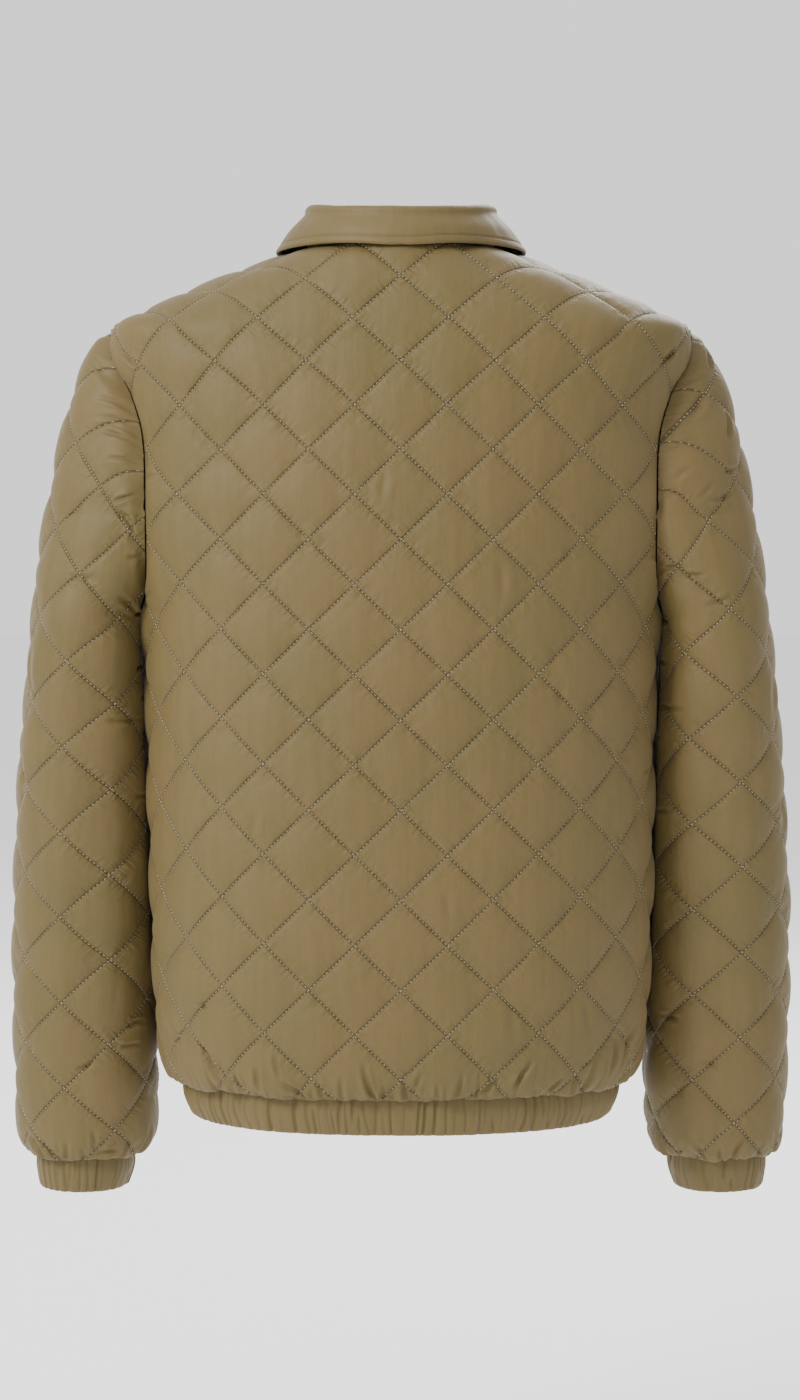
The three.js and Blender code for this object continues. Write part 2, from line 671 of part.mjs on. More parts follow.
// The body's inner face straight above or below a place seen from above, and its outward direction there.
function bodyAt(angle, radius) {
  const place = (a, r) => {
    const x = r * Math.sin(a);
    const y = NECK.centreY + r * Math.cos(a);
    const depth = y > SIDE_Y ? torsoBack : torsoFront;
    let low = -200;
    let high = TORSO[0].z;
    for (let i = 0; i < 50; i += 1) {
      const z = (low + high) / 2;
      const share =
        (Math.abs(x) / torsoWidth(z)) ** TORSO_POWER + (Math.abs(y - SIDE_Y) / depth(z)) ** TORSO_POWER;
      if (share < 1) low = z;
      else high = z;
    }
    return new THREE.Vector3(x, y, low);
  };
  const outwards = place(angle, radius + 1).sub(place(angle, radius - 1));
  const round = place(angle + 0.01, radius).sub(place(angle - 0.01, radius));
  return { point: place(angle, radius), normal: outwards.cross(round).normalize().multiplyScalar(-1) };
}

// The collar: one folded wall, its section swept round the neck. At each angle the cloth's middle line runs from the
// tucked-in base up the stand, over the fold and down the fall to the edge.
function collar() {
  const column = Object.fromEntries(Object.keys(COLLAR[0]).map((name) => [name, curveOf(COLLAR, name, "angle")]));
  const end = COLLAR[COLLAR.length - 1].angle;
  const stations = evenly(-end, end, 34);
  const sections = stations.map((signed) => {
    const angle = Math.abs(signed);
    const turn = THREE.MathUtils.degToRad(signed);
    const around = (radius, z) =>
      new THREE.Vector3(radius * Math.sin(turn), NECK.centreY + radius * Math.cos(turn), z);
    const seam = bodyAt(turn, NECK.radius).point;
    const base = around(NECK.radius - 0.9 - COLLAR_WALL / 2, seam.z - COLLAR_TUCK);
    const foldZ = column.foldZ(angle) - COLLAR_FOLD;
    const rise = around(column.foldRadius(angle) - COLLAR_FOLD, foldZ);
    const edgeTurn = THREE.MathUtils.degToRad(column.edgeAngle(angle)) * Math.sign(signed);
    const lies = bodyAt(edgeTurn, column.edgeRadius(angle));
    const edge = lies.point.clone().addScaledVector(lies.normal, COLLAR_LIFT);
    const out = edge.clone().sub(rise).setZ(0).normalize();
    const centre = rise.clone().addScaledVector(out, COLLAR_FOLD);
    const over = [145, 90, 35].map((degrees) => {
      const a = THREE.MathUtils.degToRad(degrees);
      return centre
        .clone()
        .addScaledVector(out, COLLAR_FOLD * Math.cos(a))
        .add(new THREE.Vector3(0, 0, COLLAR_FOLD * Math.sin(a)));
    });
    const down = centre.clone().addScaledVector(out, COLLAR_FOLD * 1.15).setZ(foldZ - 3);
    const half = down.clone().lerp(edge, 0.5).add(new THREE.Vector3(0, 0, 1.5)).addScaledVector(out, 1.2);
    [down, half].forEach((p) => {
      const below = bodyAt(Math.atan2(p.x, p.y - NECK.centreY), Math.hypot(p.x, p.y - NECK.centreY));
      if (below) p.z = Math.max(p.z, below.point.z + COLLAR_CLEAR);
    });
    const path = [base, base.clone().lerp(rise, 0.55), rise, ...over, down, half, edge];
    const sides = path.map((p, i) => {
      const tangent = path[Math.min(i + 1, path.length - 1)].clone().sub(path[Math.max(i - 1, 0)]).normalize();
      const outward = tangent.clone().cross(new THREE.Vector3(0, 0, 1).cross(out)).normalize();
      return [-1, 1].map((k) => p.clone().addScaledVector(outward, (k * COLLAR_WALL) / 2));
    });
    return [...sides.map(([a]) => a), ...sides.map(([, b]) => b).reverse()];
  });
  return loft(sections);
}

// A solid through equal rings of points, closed by flat ends.
function loft(sections) {
  const size = sections[0].length;
  const positions = sections.flat().flatMap((p) => p.toArray());
  const faces = [];
  for (let s = 0; s < sections.length - 1; s += 1) {
    for (let i = 0; i < size; i += 1) {
      const [a, b] = [s * size + i, s * size + ((i + 1) % size)];
      faces.push(a, b, a + size, b, b + size, a + size);
    }
  }
  const last = (sections.length - 1) * size;
  for (let i = 0; i < size / 2 - 1; i += 1) {
    const [a, b, c, d] = [i, i + 1, size - 2 - i, size - 1 - i];
    faces.push(a, c, b, a, d, c, last + a, last + b, last + c, last + a, last + c, last + d);
  }
  const geometry = new THREE.BufferGeometry();
  geometry.setAttribute("position", new THREE.Float32BufferAttribute(positions, 3));
  geometry.setIndex(faces);
  return geometry;
}

// The line down the centre front that the zip follows: the fronts' inner face, then the hem band's.
const zipCurve = curveOf(
  [
    ...TORSO.filter(({ z }) => z <= -56 && z >= -606).map(({ z, front }) => ({ z, depth: front })),
    { z: -622, depth: 113 },
    { z: -636, depth: 109 },
    { z: -650, depth: 108 },
    { z: -665, depth: 105 },
  ],
  "depth",
);

const zipStations = evenly(ZIP.bottomZ, ZIP.topZ, 23);
const zipDepths = zipStations.map(zipCurve);
const zipDepth = (z) => at(zipDepths, indexOf(zipStations, z));

function zipFrame(z) {
  const origin = new THREE.Vector3(0, SIDE_Y - zipDepth(z), z);
  const along = new THREE.Vector3(0, zipDepth(z - 1) - zipDepth(z + 1), 2).normalize();
  const across = new THREE.Vector3(1, 0, 0);
  return { origin, across, along, out: across.clone().cross(along) };
}

function onZip(x, z, n) {
  const { origin, out } = zipFrame(z);
  return new THREE.Vector3(x, 0, 0).add(origin).addScaledVector(out, n);
}

// A strip that follows the zip's line, between two distances across and two heights out.
function zipStrip(low, high, bottomZ, topZ, inner, outer, more = []) {
  const between = [...zipStations, ...more].filter((z) => z > bottomZ + 0.5 && z < topZ - 0.5);
  const zs = [bottomZ, ...between.sort((a, b) => a - b), topZ];
  return loft(zs.map((z) => [
    onZip(low(z), z, inner),
    onZip(low(z), z, outer),
    onZip(high(z), z, outer),
    onZip(high(z), z, inner),
  ]));
}

function zipTape(side) {
  const { halfWidth, narrow, inner, outer, narrowFrom } = ZIP.tape;
  const wide = (z) => narrow + (halfWidth - narrow) * THREE.MathUtils.smoothstep(z, narrowFrom - 14, narrowFrom);
  const near = () => (side > 0 ? SEAM_GAP / 2 : -SEAM_GAP / 2);
  const far = (z) => side * wide(z);
  const [low, high] = side > 0 ? [near, far] : [far, near];
  return zipStrip(low, high, ZIP.bottomZ, ZIP.topZ, inner, outer, [narrowFrom - 14, narrowFrom - 7, narrowFrom]);
}

const sliderHalfZ = SLIDER.length / 2;
const chainTopZ = ZIP.sliderZ + sliderHalfZ;
const boxTopZ = ZIP.bottomZ + ZIP.boxLength;

function zipChain() {
  const { halfWidth, inner, outer } = ZIP.chain;
  return zipStrip(() => -halfWidth, () => halfWidth, boxTopZ + 0.3, chainTopZ, inner, outer);
}

function zipStop(side) {
  const { inner, outer } = ZIP.chain;
  const [low, high] = side > 0 ? [0.3, 3.1] : [-3.1, -0.3];
  const bottomZ = chainTopZ + 1;
  return zipStrip(() => low, () => high, bottomZ, bottomZ + ZIP.stopLength, inner, outer);
}

function zipBox() {
  return zipStrip(() => -4, () => 4, ZIP.bottomZ, boxTopZ, ZIP.chain.inner, 3.2);
}

// In the slider's own frame, x is across, y runs up the zip and z points out of the jacket.
const plateInner = ZIP.chain.outer + SEAM_GAP;
const plateOuter = plateInner + SLIDER.wall;
const pullAxis = plateOuter + BAIL.window / 2;

function zipSlider() {
  const [top, bottom] = [SLIDER.topWidth / 2, SLIDER.bottomWidth / 2];
  const outline = new THREE.Shape([
    new THREE.Vector2(-bottom, -sliderHalfZ),
    new THREE.Vector2(bottom, -sliderHalfZ),
    new THREE.Vector2(top, sliderHalfZ - 3),
    new THREE.Vector2(top - 2.2, sliderHalfZ),
    new THREE.Vector2(2.2 - top, sliderHalfZ),
    new THREE.Vector2(-top, sliderHalfZ - 3),
  ]);
  const plate = new THREE.ExtrudeGeometry(outline, { depth: SLIDER.wall, bevelEnabled: false });
  const flangeX = ZIP.chain.halfWidth + SEAM_GAP + SLIDER.flange / 2;
  const flanges = [-1, 1].map((side) =>
    new THREE.BoxGeometry(SLIDER.flange, SLIDER.length - 4, plateInner + 0.3).translate(
      side * flangeX,
      -1,
      (plateInner + 0.3) / 2,
    ),
  );
  const half = BAIL.length / 2;
  const arch = new THREE.Shape([
    new THREE.Vector2(-half, -0.3),
    new THREE.Vector2(half, -0.3),
    new THREE.Vector2(half, BAIL.height - 1.4),
    new THREE.Vector2(half - 1.4, BAIL.height),
    new THREE.Vector2(1.4 - half, BAIL.height),
    new THREE.Vector2(-half, BAIL.height - 1.4),
  ]);
  const windowHalf = half - BAIL.wall;
  arch.holes.push(
    new THREE.Path([
      new THREE.Vector2(-windowHalf, 0.02),
      new THREE.Vector2(-windowHalf, BAIL.window),
      new THREE.Vector2(windowHalf, BAIL.window),
      new THREE.Vector2(windowHalf, 0.02),
    ]),
  );
  const bail = new THREE.ExtrudeGeometry(arch, { depth: BAIL.width, bevelEnabled: false })
    .translate(0, 0, -BAIL.width / 2)
    .rotateX(Math.PI / 2)
    .rotateZ(Math.PI / 2)
    .translate(0, 0, plateOuter);
  plate.translate(0, 0, plateInner);
  return geometryOf([plate, ...flanges, bail].map(solidOf).reduce((all, solid) => all.add(solid)));
}

// The pull tab: it hangs by a crossbar in the bail's window, and the bail passes through its slot.
function zipPull() {
  const { length, eyeWidth, endWidth, wall, slotHalf, slotEnd } = PULL;
  const shape = new THREE.Shape();
  shape.moveTo(-eyeWidth / 2 + 0.6, wall / 2);
  shape.lineTo(-eyeWidth / 2, -0.4);
  shape.lineTo(-endWidth / 2, -length + endWidth / 2);
  shape.absarc(0, -length + endWidth / 2, endWidth / 2, Math.PI, 2 * Math.PI, false);
  shape.lineTo(eyeWidth / 2, -0.4);
  shape.lineTo(eyeWidth / 2 - 0.6, wall / 2);
  shape.holes.push(
    new THREE.Path([
      new THREE.Vector2(-slotHalf, -wall / 2),
      new THREE.Vector2(slotHalf, -wall / 2),
      new THREE.Vector2(slotHalf, -slotEnd),
      new THREE.Vector2(-slotHalf, -slotEnd),
    ]),
  );
  return new THREE.ExtrudeGeometry(shape, { depth: wall, bevelEnabled: false, curveSegments: 10 })
    .translate(0, 0, pullAxis - wall / 2);
}

const jacket = new THREE.Group();

function add(name, geometry, colour, parent = jacket) {
  const metal = colour === COLOURS.metal;
  const material = new THREE.MeshStandardMaterial({
    color: colour,
    roughness: metal ? 0.4 : 0.85,
    metalness: metal ? 0.8 : 0,
  });
  const mesh = new THREE.Mesh(geometry, material);
  mesh.name = name;
  parent.add(mesh);
}

add("back", backPanel(), COLOURS.cloth);
add("front_left", frontPanel(1), COLOURS.cloth);
add("front_right", frontPanel(-1), COLOURS.cloth);

const clearedBody = bodyWithClearance();
add("sleeve_left", sleeve("left", clearedBody), COLOURS.cloth);
add("sleeve_right", sleeve("right", clearedBody), COLOURS.cloth);

add("collar", collar(), COLOURS.cloth);
add("hem_band", hemBand(), COLOURS.band);
add("cuff_left", cuff(1), COLOURS.band);
add("cuff_right", cuff(-1), COLOURS.band);

add("zip_tape_left", zipTape(1), COLOURS.tape);
add("zip_tape_right", zipTape(-1), COLOURS.tape);
add("zip_chain", zipChain(), COLOURS.metal);
add("zip_stop_left", zipStop(1), COLOURS.metal);
add("zip_stop_right", zipStop(-1), COLOURS.metal);
add("zip_box", zipBox(), COLOURS.metal);

const slider = new THREE.Group();
const sliderFrame = zipFrame(ZIP.sliderZ);
slider.position.copy(sliderFrame.origin);
slider.quaternion.setFromRotationMatrix(
  new THREE.Matrix4().makeBasis(sliderFrame.across, sliderFrame.along, sliderFrame.out),
);
add("zip_slider", zipSlider(), COLOURS.metal, slider);
add("zip_pull", zipPull(), COLOURS.metal, slider);
jacket.add(slider);

export default jacket;
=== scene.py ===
"""A hollow, filled-out jacket of diamond-quilted cloth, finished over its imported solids.

Lengths in the classes are millimetres, and a piece's points become metres when it is laid.
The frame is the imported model's: +Z up, +X the wearer's left and -Y the front.
"""

from __future__ import annotations

import logging
import math
from dataclasses import dataclass, field
from enum import Enum
from typing import Callable, Optional

import bmesh
import bpy
import numpy as np
from mathutils import Matrix, Vector

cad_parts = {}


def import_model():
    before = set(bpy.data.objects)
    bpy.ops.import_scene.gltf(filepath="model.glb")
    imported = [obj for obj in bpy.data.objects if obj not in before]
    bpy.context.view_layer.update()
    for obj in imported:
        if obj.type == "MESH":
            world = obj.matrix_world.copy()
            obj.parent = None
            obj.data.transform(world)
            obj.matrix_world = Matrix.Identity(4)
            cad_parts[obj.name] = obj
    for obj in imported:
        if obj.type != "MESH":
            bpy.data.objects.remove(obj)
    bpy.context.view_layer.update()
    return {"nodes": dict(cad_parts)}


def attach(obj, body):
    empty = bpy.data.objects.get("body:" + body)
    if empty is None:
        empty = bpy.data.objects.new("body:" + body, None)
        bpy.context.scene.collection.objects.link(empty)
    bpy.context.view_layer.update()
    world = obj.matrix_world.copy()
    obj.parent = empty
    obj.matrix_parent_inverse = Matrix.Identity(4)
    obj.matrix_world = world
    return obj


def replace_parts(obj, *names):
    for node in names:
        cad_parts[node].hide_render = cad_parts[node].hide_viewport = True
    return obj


LOG = logging.getLogger("jacket")
MM = 0.001
CLOTH_BODY = "jacket"
PULL_BODY = "pull_tab"
SEAM_GAP = 0.3
SIDE_Y = 4.0

Array = np.ndarray


class Side(Enum):
    """A side of the wearer, and the sign of X there."""

    LEFT = 1
    RIGHT = -1

    @property
    def word(self) -> str:
        """The side's name, as it ends a piece's name."""
        return self.name.lower()


class Layer(Enum):
    """The two faces of a cloth wall, as the third flat coordinate of its points."""

    INSIDE = 0
    OUTSIDE = 1


class Curve:
    """A smooth curve through the rows of a table, which never overshoots them."""

    def __init__(self, xs: list[float], ys: list[float]) -> None:
        """Takes the rows.

        Args:
            xs: where the rows are.
            ys: their values.
        """
        order = np.argsort(xs)
        self.x = np.asarray(xs, float)[order]
        self.y = np.asarray(ys, float)[order]
        slope = np.diff(self.y) / np.diff(self.x)
        product = slope[:-1] * slope[1:]
        total = slope[:-1] + slope[1:]
        inner = np.where(product > 0, 2 * product / np.where(total == 0, 1, total), 0)
        self.tangent = np.concatenate([slope[:1], inner, slope[-1:]])

    def __call__(self, at: Array) -> Array:
        """The curve's value, held at its ends.

        Args:
            at: where it is wanted.

        Returns:
            The values there.
        """
        x, y, m = self.x, self.y, self.tangent
        held = np.clip(at, x[0], x[-1])
        i = np.clip(np.searchsorted(x, held, side="right") - 1, 0, len(x) - 2)
        width = x[i + 1] - x[i]
        t = (held - x[i]) / width
        rise = y[i + 1] - y[i]
        bend = (1 - t) * (m[i] * width - rise) - t * (m[i + 1] * width - rise)
        return y[i] + t * rise + t * (1 - t) * bend


class Noise:
    """Smooth seeded noise between -1 and 1."""

    def __init__(self, seed: int) -> None:
        """Keeps the seed."""
        self.seed = seed

    def cell(self, i: Array, j: Array) -> Array:
        """A fixed random value for each pair of whole numbers.

        Args:
            i: first numbers.
            j: second numbers.

        Returns:
            Values from -1 to 1.
        """
        n = np.asarray(i, np.int64) * 374761393 + np.asarray(j, np.int64) * 668265263
        n = (n + self.seed * 1274126177) & 0x7FFFFFFF
        n = ((n ^ (n >> 13)) * 1103515245 + 12345) & 0x7FFFFFFF
        n = ((n ^ (n >> 15)) * 69069) & 0x7FFFFFFF
        return ((n ^ (n >> 11)) % 65536) / 32767.5 - 1

    def __call__(self, x: Array, y: Array = 0.0) -> Array:
        """The noise at points whose features are about one unit wide.

        Args:
            x: first coordinates.
            y: second coordinates.

        Returns:
            Values from -1 to 1.
        """
        x, y = np.broadcast_arrays(np.asarray(x, float), np.asarray(y, float))
        i, j = np.floor(x), np.floor(y)
        s, t = x - i, y - j
        s, t = s * s * (3 - 2 * s), t * t * (3 - 2 * t)
        low = self.cell(i, j) * (1 - s) + self.cell(i + 1, j) * s
        high = self.cell(i, j + 1) * (1 - s) + self.cell(i + 1, j + 1) * s
        return low * (1 - t) + high * t


def smoothstep(x: Array, low: float, high: float) -> Array:
    """A soft step from 0 at low to 1 at high."""
    t = np.clip((x - low) / (high - low), 0, 1)
    return t * t * (3 - 2 * t)


def lengths_along(points: Array) -> Array:
    """The distance along a line of points, from its first."""
    steps = np.linalg.norm(np.diff(points, axis=0), axis=1)
    return np.concatenate([[0.0], np.cumsum(steps)])


@dataclass(frozen=True)
class BodyLevel:
    """A level of the body's or the hem band's inner face."""

    z: float
    half_width: float
    back: float
    front: float


@dataclass(frozen=True)
class SleeveLevel:
    """A level of the sleeve's inner face; the inner line starts below the armhole."""

    z: float
    half_depth: float
    mid_y: float
    inner: Optional[float] = None


@dataclass(frozen=True)
class CuffLevel:
    """A level of a cuff's inner face."""

    z: float
    half_width: float
    half_depth: float
    x: float
    y: float


@dataclass(frozen=True)
class CollarStation:
    """A place round the collar: its fold, and where its edge lies."""

    angle: float
    fold_z: float
    fold_radius: float
    edge_angle: float
    edge_radius: float


BODY_LEVELS = (
    BodyLevel(8, 34, 67.5, 38),
    BodyLevel(0, 56, 74, 45),
    BodyLevel(-8, 75, 78, 49),
    BodyLevel(-15.5, 97, 81, 53),
    BodyLevel(-23, 117, 84, 56.5),
    BodyLevel(-31, 140, 87.5, 60.5),
    BodyLevel(-44, 170, 92.5, 67),
    BodyLevel(-56, 197, 96.5, 73),
    BodyLevel(-69, 220, 100.5, 80),
    BodyLevel(-90, 218, 106, 91),
    BodyLevel(-119, 209, 111.5, 104),
    BodyLevel(-160, 202, 117, 117),
    BodyLevel(-200, 199, 120.5, 124),
    BodyLevel(-282, 195.5, 123.5, 129),
    BodyLevel(-350, 191.5, 124, 129.5),
    BodyLevel(-430, 189, 123.5, 129),
    BodyLevel(-520, 187, 122.5, 127),
    BodyLevel(-580, 184.5, 121, 123.5),
    BodyLevel(-605, 182.5, 119.5, 121),
    BodyLevel(-620, 179, 117, 118),
    BodyLevel(-630, 175, 113.5, 115.5),
    BodyLevel(-637, 170, 109, 113),
)
SLEEVE_OUTER = {
    -69: 222.5,
    -80: 231,
    -100: 241.5,
    -130: 252,
    -184: 264,
    -239: 273,
    -299: 280,
    -359: 286.5,
    -428: 291.8,
    -510: 295.5,
    -590: 296.5,
    -655: 295,
    -684: 293,
    -695: 290,
    -702: 285.7,
}
SLEEVE_LEVELS = (
    SleeveLevel(-203, 56.1, SIDE_Y),
    SleeveLevel(-282, 57, SIDE_Y, 200.7),
    SleeveLevel(-300, 57, 3, 203),
    SleeveLevel(-320, 56.7, 1, 203),
    SleeveLevel(-360, 56, -5, 200.5),
    SleeveLevel(-430, 54.5, -14, 197.5),
    SleeveLevel(-510, 53, -24, 195.5),
    SleeveLevel(-590, 51.5, -31, 194),
    SleeveLevel(-655, 50, -35, 193.5),
    SleeveLevel(-684, 48, -36, 195),
    SleeveLevel(-695, 45, -36.5, 199),
    SleeveLevel(-702, 39.7, -37, 206.3),
)
HEM_LEVELS = (
    BodyLevel(-627, 162.7, 103.7, 107.7),
    BodyLevel(-645, 164.2, 104.7, 108.7),
    BodyLevel(-663, 157.5, 99.5, 104.5),
)
HEM_TILT = 2.4
CUFF_LEVELS = (
    CuffLevel(-694, 35, 35, 246, -37),
    CuffLevel(-710, 35.5, 35.5, 246, -37),
    CuffLevel(-730, 31, 31, 247.5, -38),
)
COLLAR_STATIONS = (
    CollarStation(0, 24.4, 73, 0, 78.6),
    CollarStation(20, 24.8, 72.7, 20.5, 80),
    CollarStation(40, 25.8, 72, 42, 83),
    CollarStation(75, 28.4, 70, 75, 90),
    CollarStation(100, 23, 69, 97, 94),
    CollarStation(130, 0, 69, 122, 96),
    CollarStation(155, -24, 69, 140, 99),
    CollarStation(176.5, -42, 69, 154, 106),
)
NECK_RADIUS = 75.0
NECK_Y = 3.0
BODY_POWER = 2.3
SLEEVE_POWER = 2.15
BODY_GATHER_Z = -600.0
BLADE_Z = -118.0
SLEEVE_GRAIN_Z = -203.0
ARMHOLE_TOP = -69.0
ARMHOLE_BOTTOM = -282.0
ARMHOLE_HALF = 54.0
ARMHOLE_EGG = 0.3
ARMHOLE_MIDDLE = (ARMHOLE_TOP + ARMHOLE_BOTTOM) / 2
ARMHOLE_REACH = (ARMHOLE_TOP - ARMHOLE_BOTTOM) / 2
ZIP_OPENING = 5.0
TOPSTITCH_IN = 6.0
WEAVE_UNIT = 68.0
CREASE_DEPTH = 1.15
HEM_CREASE_DEPTH = 1.35
HEM_ROOT = 5.0
BETWEEN_LAYERS = 0.5


def column(levels: tuple, name: str) -> Curve:
    """The curve of one column of a table of levels.

    Args:
        levels: the rows, each with a z.
        name: the column.

    Returns:
        The curve over z.
    """
    rows = [row for row in levels if getattr(row, name) is not None]
    return Curve([row.z for row in rows], [getattr(row, name) for row in rows])


BODY_WIDTH = column(BODY_LEVELS, "half_width")
BODY_BACK = column(BODY_LEVELS, "back")
BODY_FRONT = column(BODY_LEVELS, "front")


class WornForm:
    """A worn shape whose level sections are ovals, on which flat cloth is laid.

    A point of the cloth is u along the section, v up the middle line and n out. Above the grain
    level a line of constant u keeps its place across the form and runs up until the form ends.
    """

    def __init__(
        self,
        width: Callable[[Array], Array],
        depth: Callable[[Array], Array],
        place: Callable[[Array, Array, Array], Array],
        power: float,
        bottom: float,
        top: float,
        grain: float,
        reach: float,
        far_depth: Optional[Callable[[Array], Array]] = None,
        gather_below: float = -math.inf,
        spread: Optional[Callable[[Array], Array]] = None,
    ) -> None:
        """Keeps the shape and measures its middle line.

        Args:
            width: the section's half width over z.
            depth: its depth towards the middle line over z.
            place: turns across, out and z into a point.
            power: 2 for ellipses, more for squarer ovals.
            bottom: the lowest z.
            top: the highest z.
            grain: the z above which the cloth's grain runs straight up.
            reach: the section's largest angle from the middle line.
            far_depth: the depth beyond a quarter turn.
            gather_below: the z below which the cloth is drawn in.
            spread: how much a line of constant u moves out above the grain level.
        """
        self.width, self.depth, self.place, self.power = width, depth, place, power
        self.far_depth = far_depth or depth
        self.bottom, self.top, self.grain, self.reach = bottom, top, grain, reach
        self.gather_below = gather_below
        self.spread = spread or (lambda z: np.ones_like(np.asarray(z, float)))
        self.gathered = self.arc(gather_below, reach) if math.isfinite(gather_below) else 1.0
        self.line_z = np.linspace(bottom, grain, math.ceil((grain - bottom) / 2) + 1)
        zeros = np.zeros_like(self.line_z)
        self.line_v = lengths_along(self.on_section(zeros, self.line_z))
        self.grain_v = float(self.line_v[-1])
        self.middle_z, self.middle_v = self.line_z, self.line_v
        if grain < top:
            zs, _, lengths = self.rising(0.0)
            self.middle_z = np.concatenate([self.line_z, zs[1:]])
            self.middle_v = np.concatenate([self.line_v, self.grain_v + lengths[1:]])

    def across_of(self, phi: Array, z: Array) -> Array:
        """The distance across the form at an angle of a section."""
        s = np.sin(phi)
        return self.width(z) * np.abs(s) ** (2 / self.power) * np.sign(s)

    def section(self, phi: Array, z: Array) -> tuple[Array, Array]:
        """The across and out distances at an angle of a section."""
        c = np.cos(phi)
        depth = np.where(c < 0, self.far_depth(z), self.depth(z))
        return self.across_of(phi, z), depth * np.abs(c) ** (2 / self.power) * np.sign(c)

    def on_section(self, phi: Array, z: Array) -> Array:
        """The points at angles of sections."""
        across, out = self.section(phi, z)
        return self.place(across, out, z)

    def lengths(self, z: float) -> tuple[Array, Array]:
        """The angles round one section and the distances to them."""
        phis = np.linspace(0, self.reach, 97)
        return phis, lengths_along(self.on_section(phis, np.full_like(phis, z)))

    def arc(self, z: float, phi: float) -> float:
        """The distance round the section at z to an angle."""
        phis, lengths = self.lengths(z)
        return float(np.interp(phi, phis, lengths))

    def gather(self, z: float) -> float:
        """How much the cloth is drawn in at z."""
        return self.arc(z, self.reach) / self.gathered if z < self.gather_below else 1.0

    def rising(self, u: float) -> tuple[Array, Array, Array]:
        """The line of constant u above the grain level.

        Args:
            u: the line's place.

        Returns:
            Its heights, its across and out distances and angles, and its lengths.
        """
        phis, lengths = self.lengths(self.grain)
        phi = np.interp(abs(u), lengths, phis)
        across = abs(float(self.across_of(phi, self.grain)))
        low, high = self.grain, self.top
        if self.width(high) < across * self.spread(high):
            for _ in range(40):
                middle = (low + high) / 2
                if self.width(middle) < across * self.spread(middle):
                    high = middle
                else:
                    low = middle
        else:
            low = high
        t = np.linspace(0, 1, 33)
        zs = self.grain + (low - self.grain) * (1 - (1 - t) ** 2)
        share = np.minimum(across * self.spread(zs) / np.maximum(self.width(zs), 1e-6), 1)
        turned = np.arcsin(share ** (self.power / 2))
        row = np.stack([*self.section(turned, zs), turned])
        return zs, row, lengths_along(self.place(row[0], row[1], zs))

    def tabulate(self, u_most: float, v_most: float, step: float = 2.0) -> None:
        """Fills the tables that `face` reads.

        Args:
            u_most: the largest u.
            v_most: the largest v.
            step: the spacing of the tables.
        """
        self.step = step
        us = np.arange(0, u_most + 3 * step, step)
        vs = np.arange(0, v_most + 3 * step, step)
        table = np.zeros((4, len(us), len(vs)))
        flat_top = self.grain >= self.top
        for j, v in enumerate(vs):
            if v > self.grain_v and not flat_top:
                break
            z = float(np.interp(v, self.line_v, self.line_z))
            phis, lengths = self.lengths(z)
            phi = np.interp(us * self.gather(z), lengths, phis)
            across, out = self.section(phi, np.full_like(phi, z))
            table[:, :, j] = across, out, phi, np.full_like(phi, z)
        if not flat_top:
            above = vs > self.grain_v
            for i, u in enumerate(us):
                zs, row, lengths = self.rising(u)
                at = vs[above] - self.grain_v
                rows = [np.interp(at, lengths, values) for values in (*row, zs)]
                table[:, i, above] = rows
        self.table = table

    def read(self, u: Array, v: Array) -> Array:
        """Rows of across, out, angle and z at flat points, read from the tables."""
        _, nu, nv = self.table.shape
        a = np.clip(np.abs(u) / self.step, 0, nu - 1.001)
        b = np.clip(v / self.step, 0, nv - 1.001)
        i, j = a.astype(int), b.astype(int)
        s, t = a - i, b - j
        t_ = self.table
        low = t_[:, i, j] * (1 - s) + t_[:, i + 1, j] * s
        high = t_[:, i, j + 1] * (1 - s) + t_[:, i + 1, j + 1] * s
        rows = low * (1 - t) + high * t
        return rows * np.stack([np.sign(u), np.ones_like(u), np.sign(u), np.ones_like(u)])

    def droop(self, u: Array, v: Array) -> Array:
        """How much further up the cloth a point is than the middle line at its height."""
        return v - np.interp(self.read(u, v)[3], self.middle_z, self.middle_v)

    def point(self, u: Array, v: Array, n: Array) -> Array:
        """Points at a height n out from the face."""
        across, out, phi, z = self.read(u, v)
        around = self.on_section(phi + 0.012, z) - self.on_section(phi - 0.012, z)
        upwards = self.on_section(phi, z + 1.0) - self.on_section(phi, z - 1.0)
        normal = np.cross(around, upwards)
        normal /= np.maximum(np.linalg.norm(normal, axis=1, keepdims=True), 1e-9)
        return self.place(across, out, z) + normal * np.asarray(n)[:, None]

    def flat(self, phi: float, z: float) -> tuple[float, float]:
        """The flat place of the point at an angle of the section at z."""
        if z <= self.grain:
            u = self.arc(z, phi) / self.gather(z)
            return u, float(np.interp(z, self.line_z, self.line_v))
        across = float(self.across_of(phi, z)) / float(self.spread(z))
        share = min(across / float(self.width(self.grain)), 1)
        u = self.arc(self.grain, math.asin(share ** (self.power / 2)))
        zs, _, lengths = self.rising(u)
        return u, self.grain_v + float(np.interp(z, zs, lengths))


def placed(x: Array, y: Array, z: Array) -> Array:
    """Rows of points from three columns."""
    return np.stack(np.broadcast_arrays(x, y, z), axis=-1).astype(float)


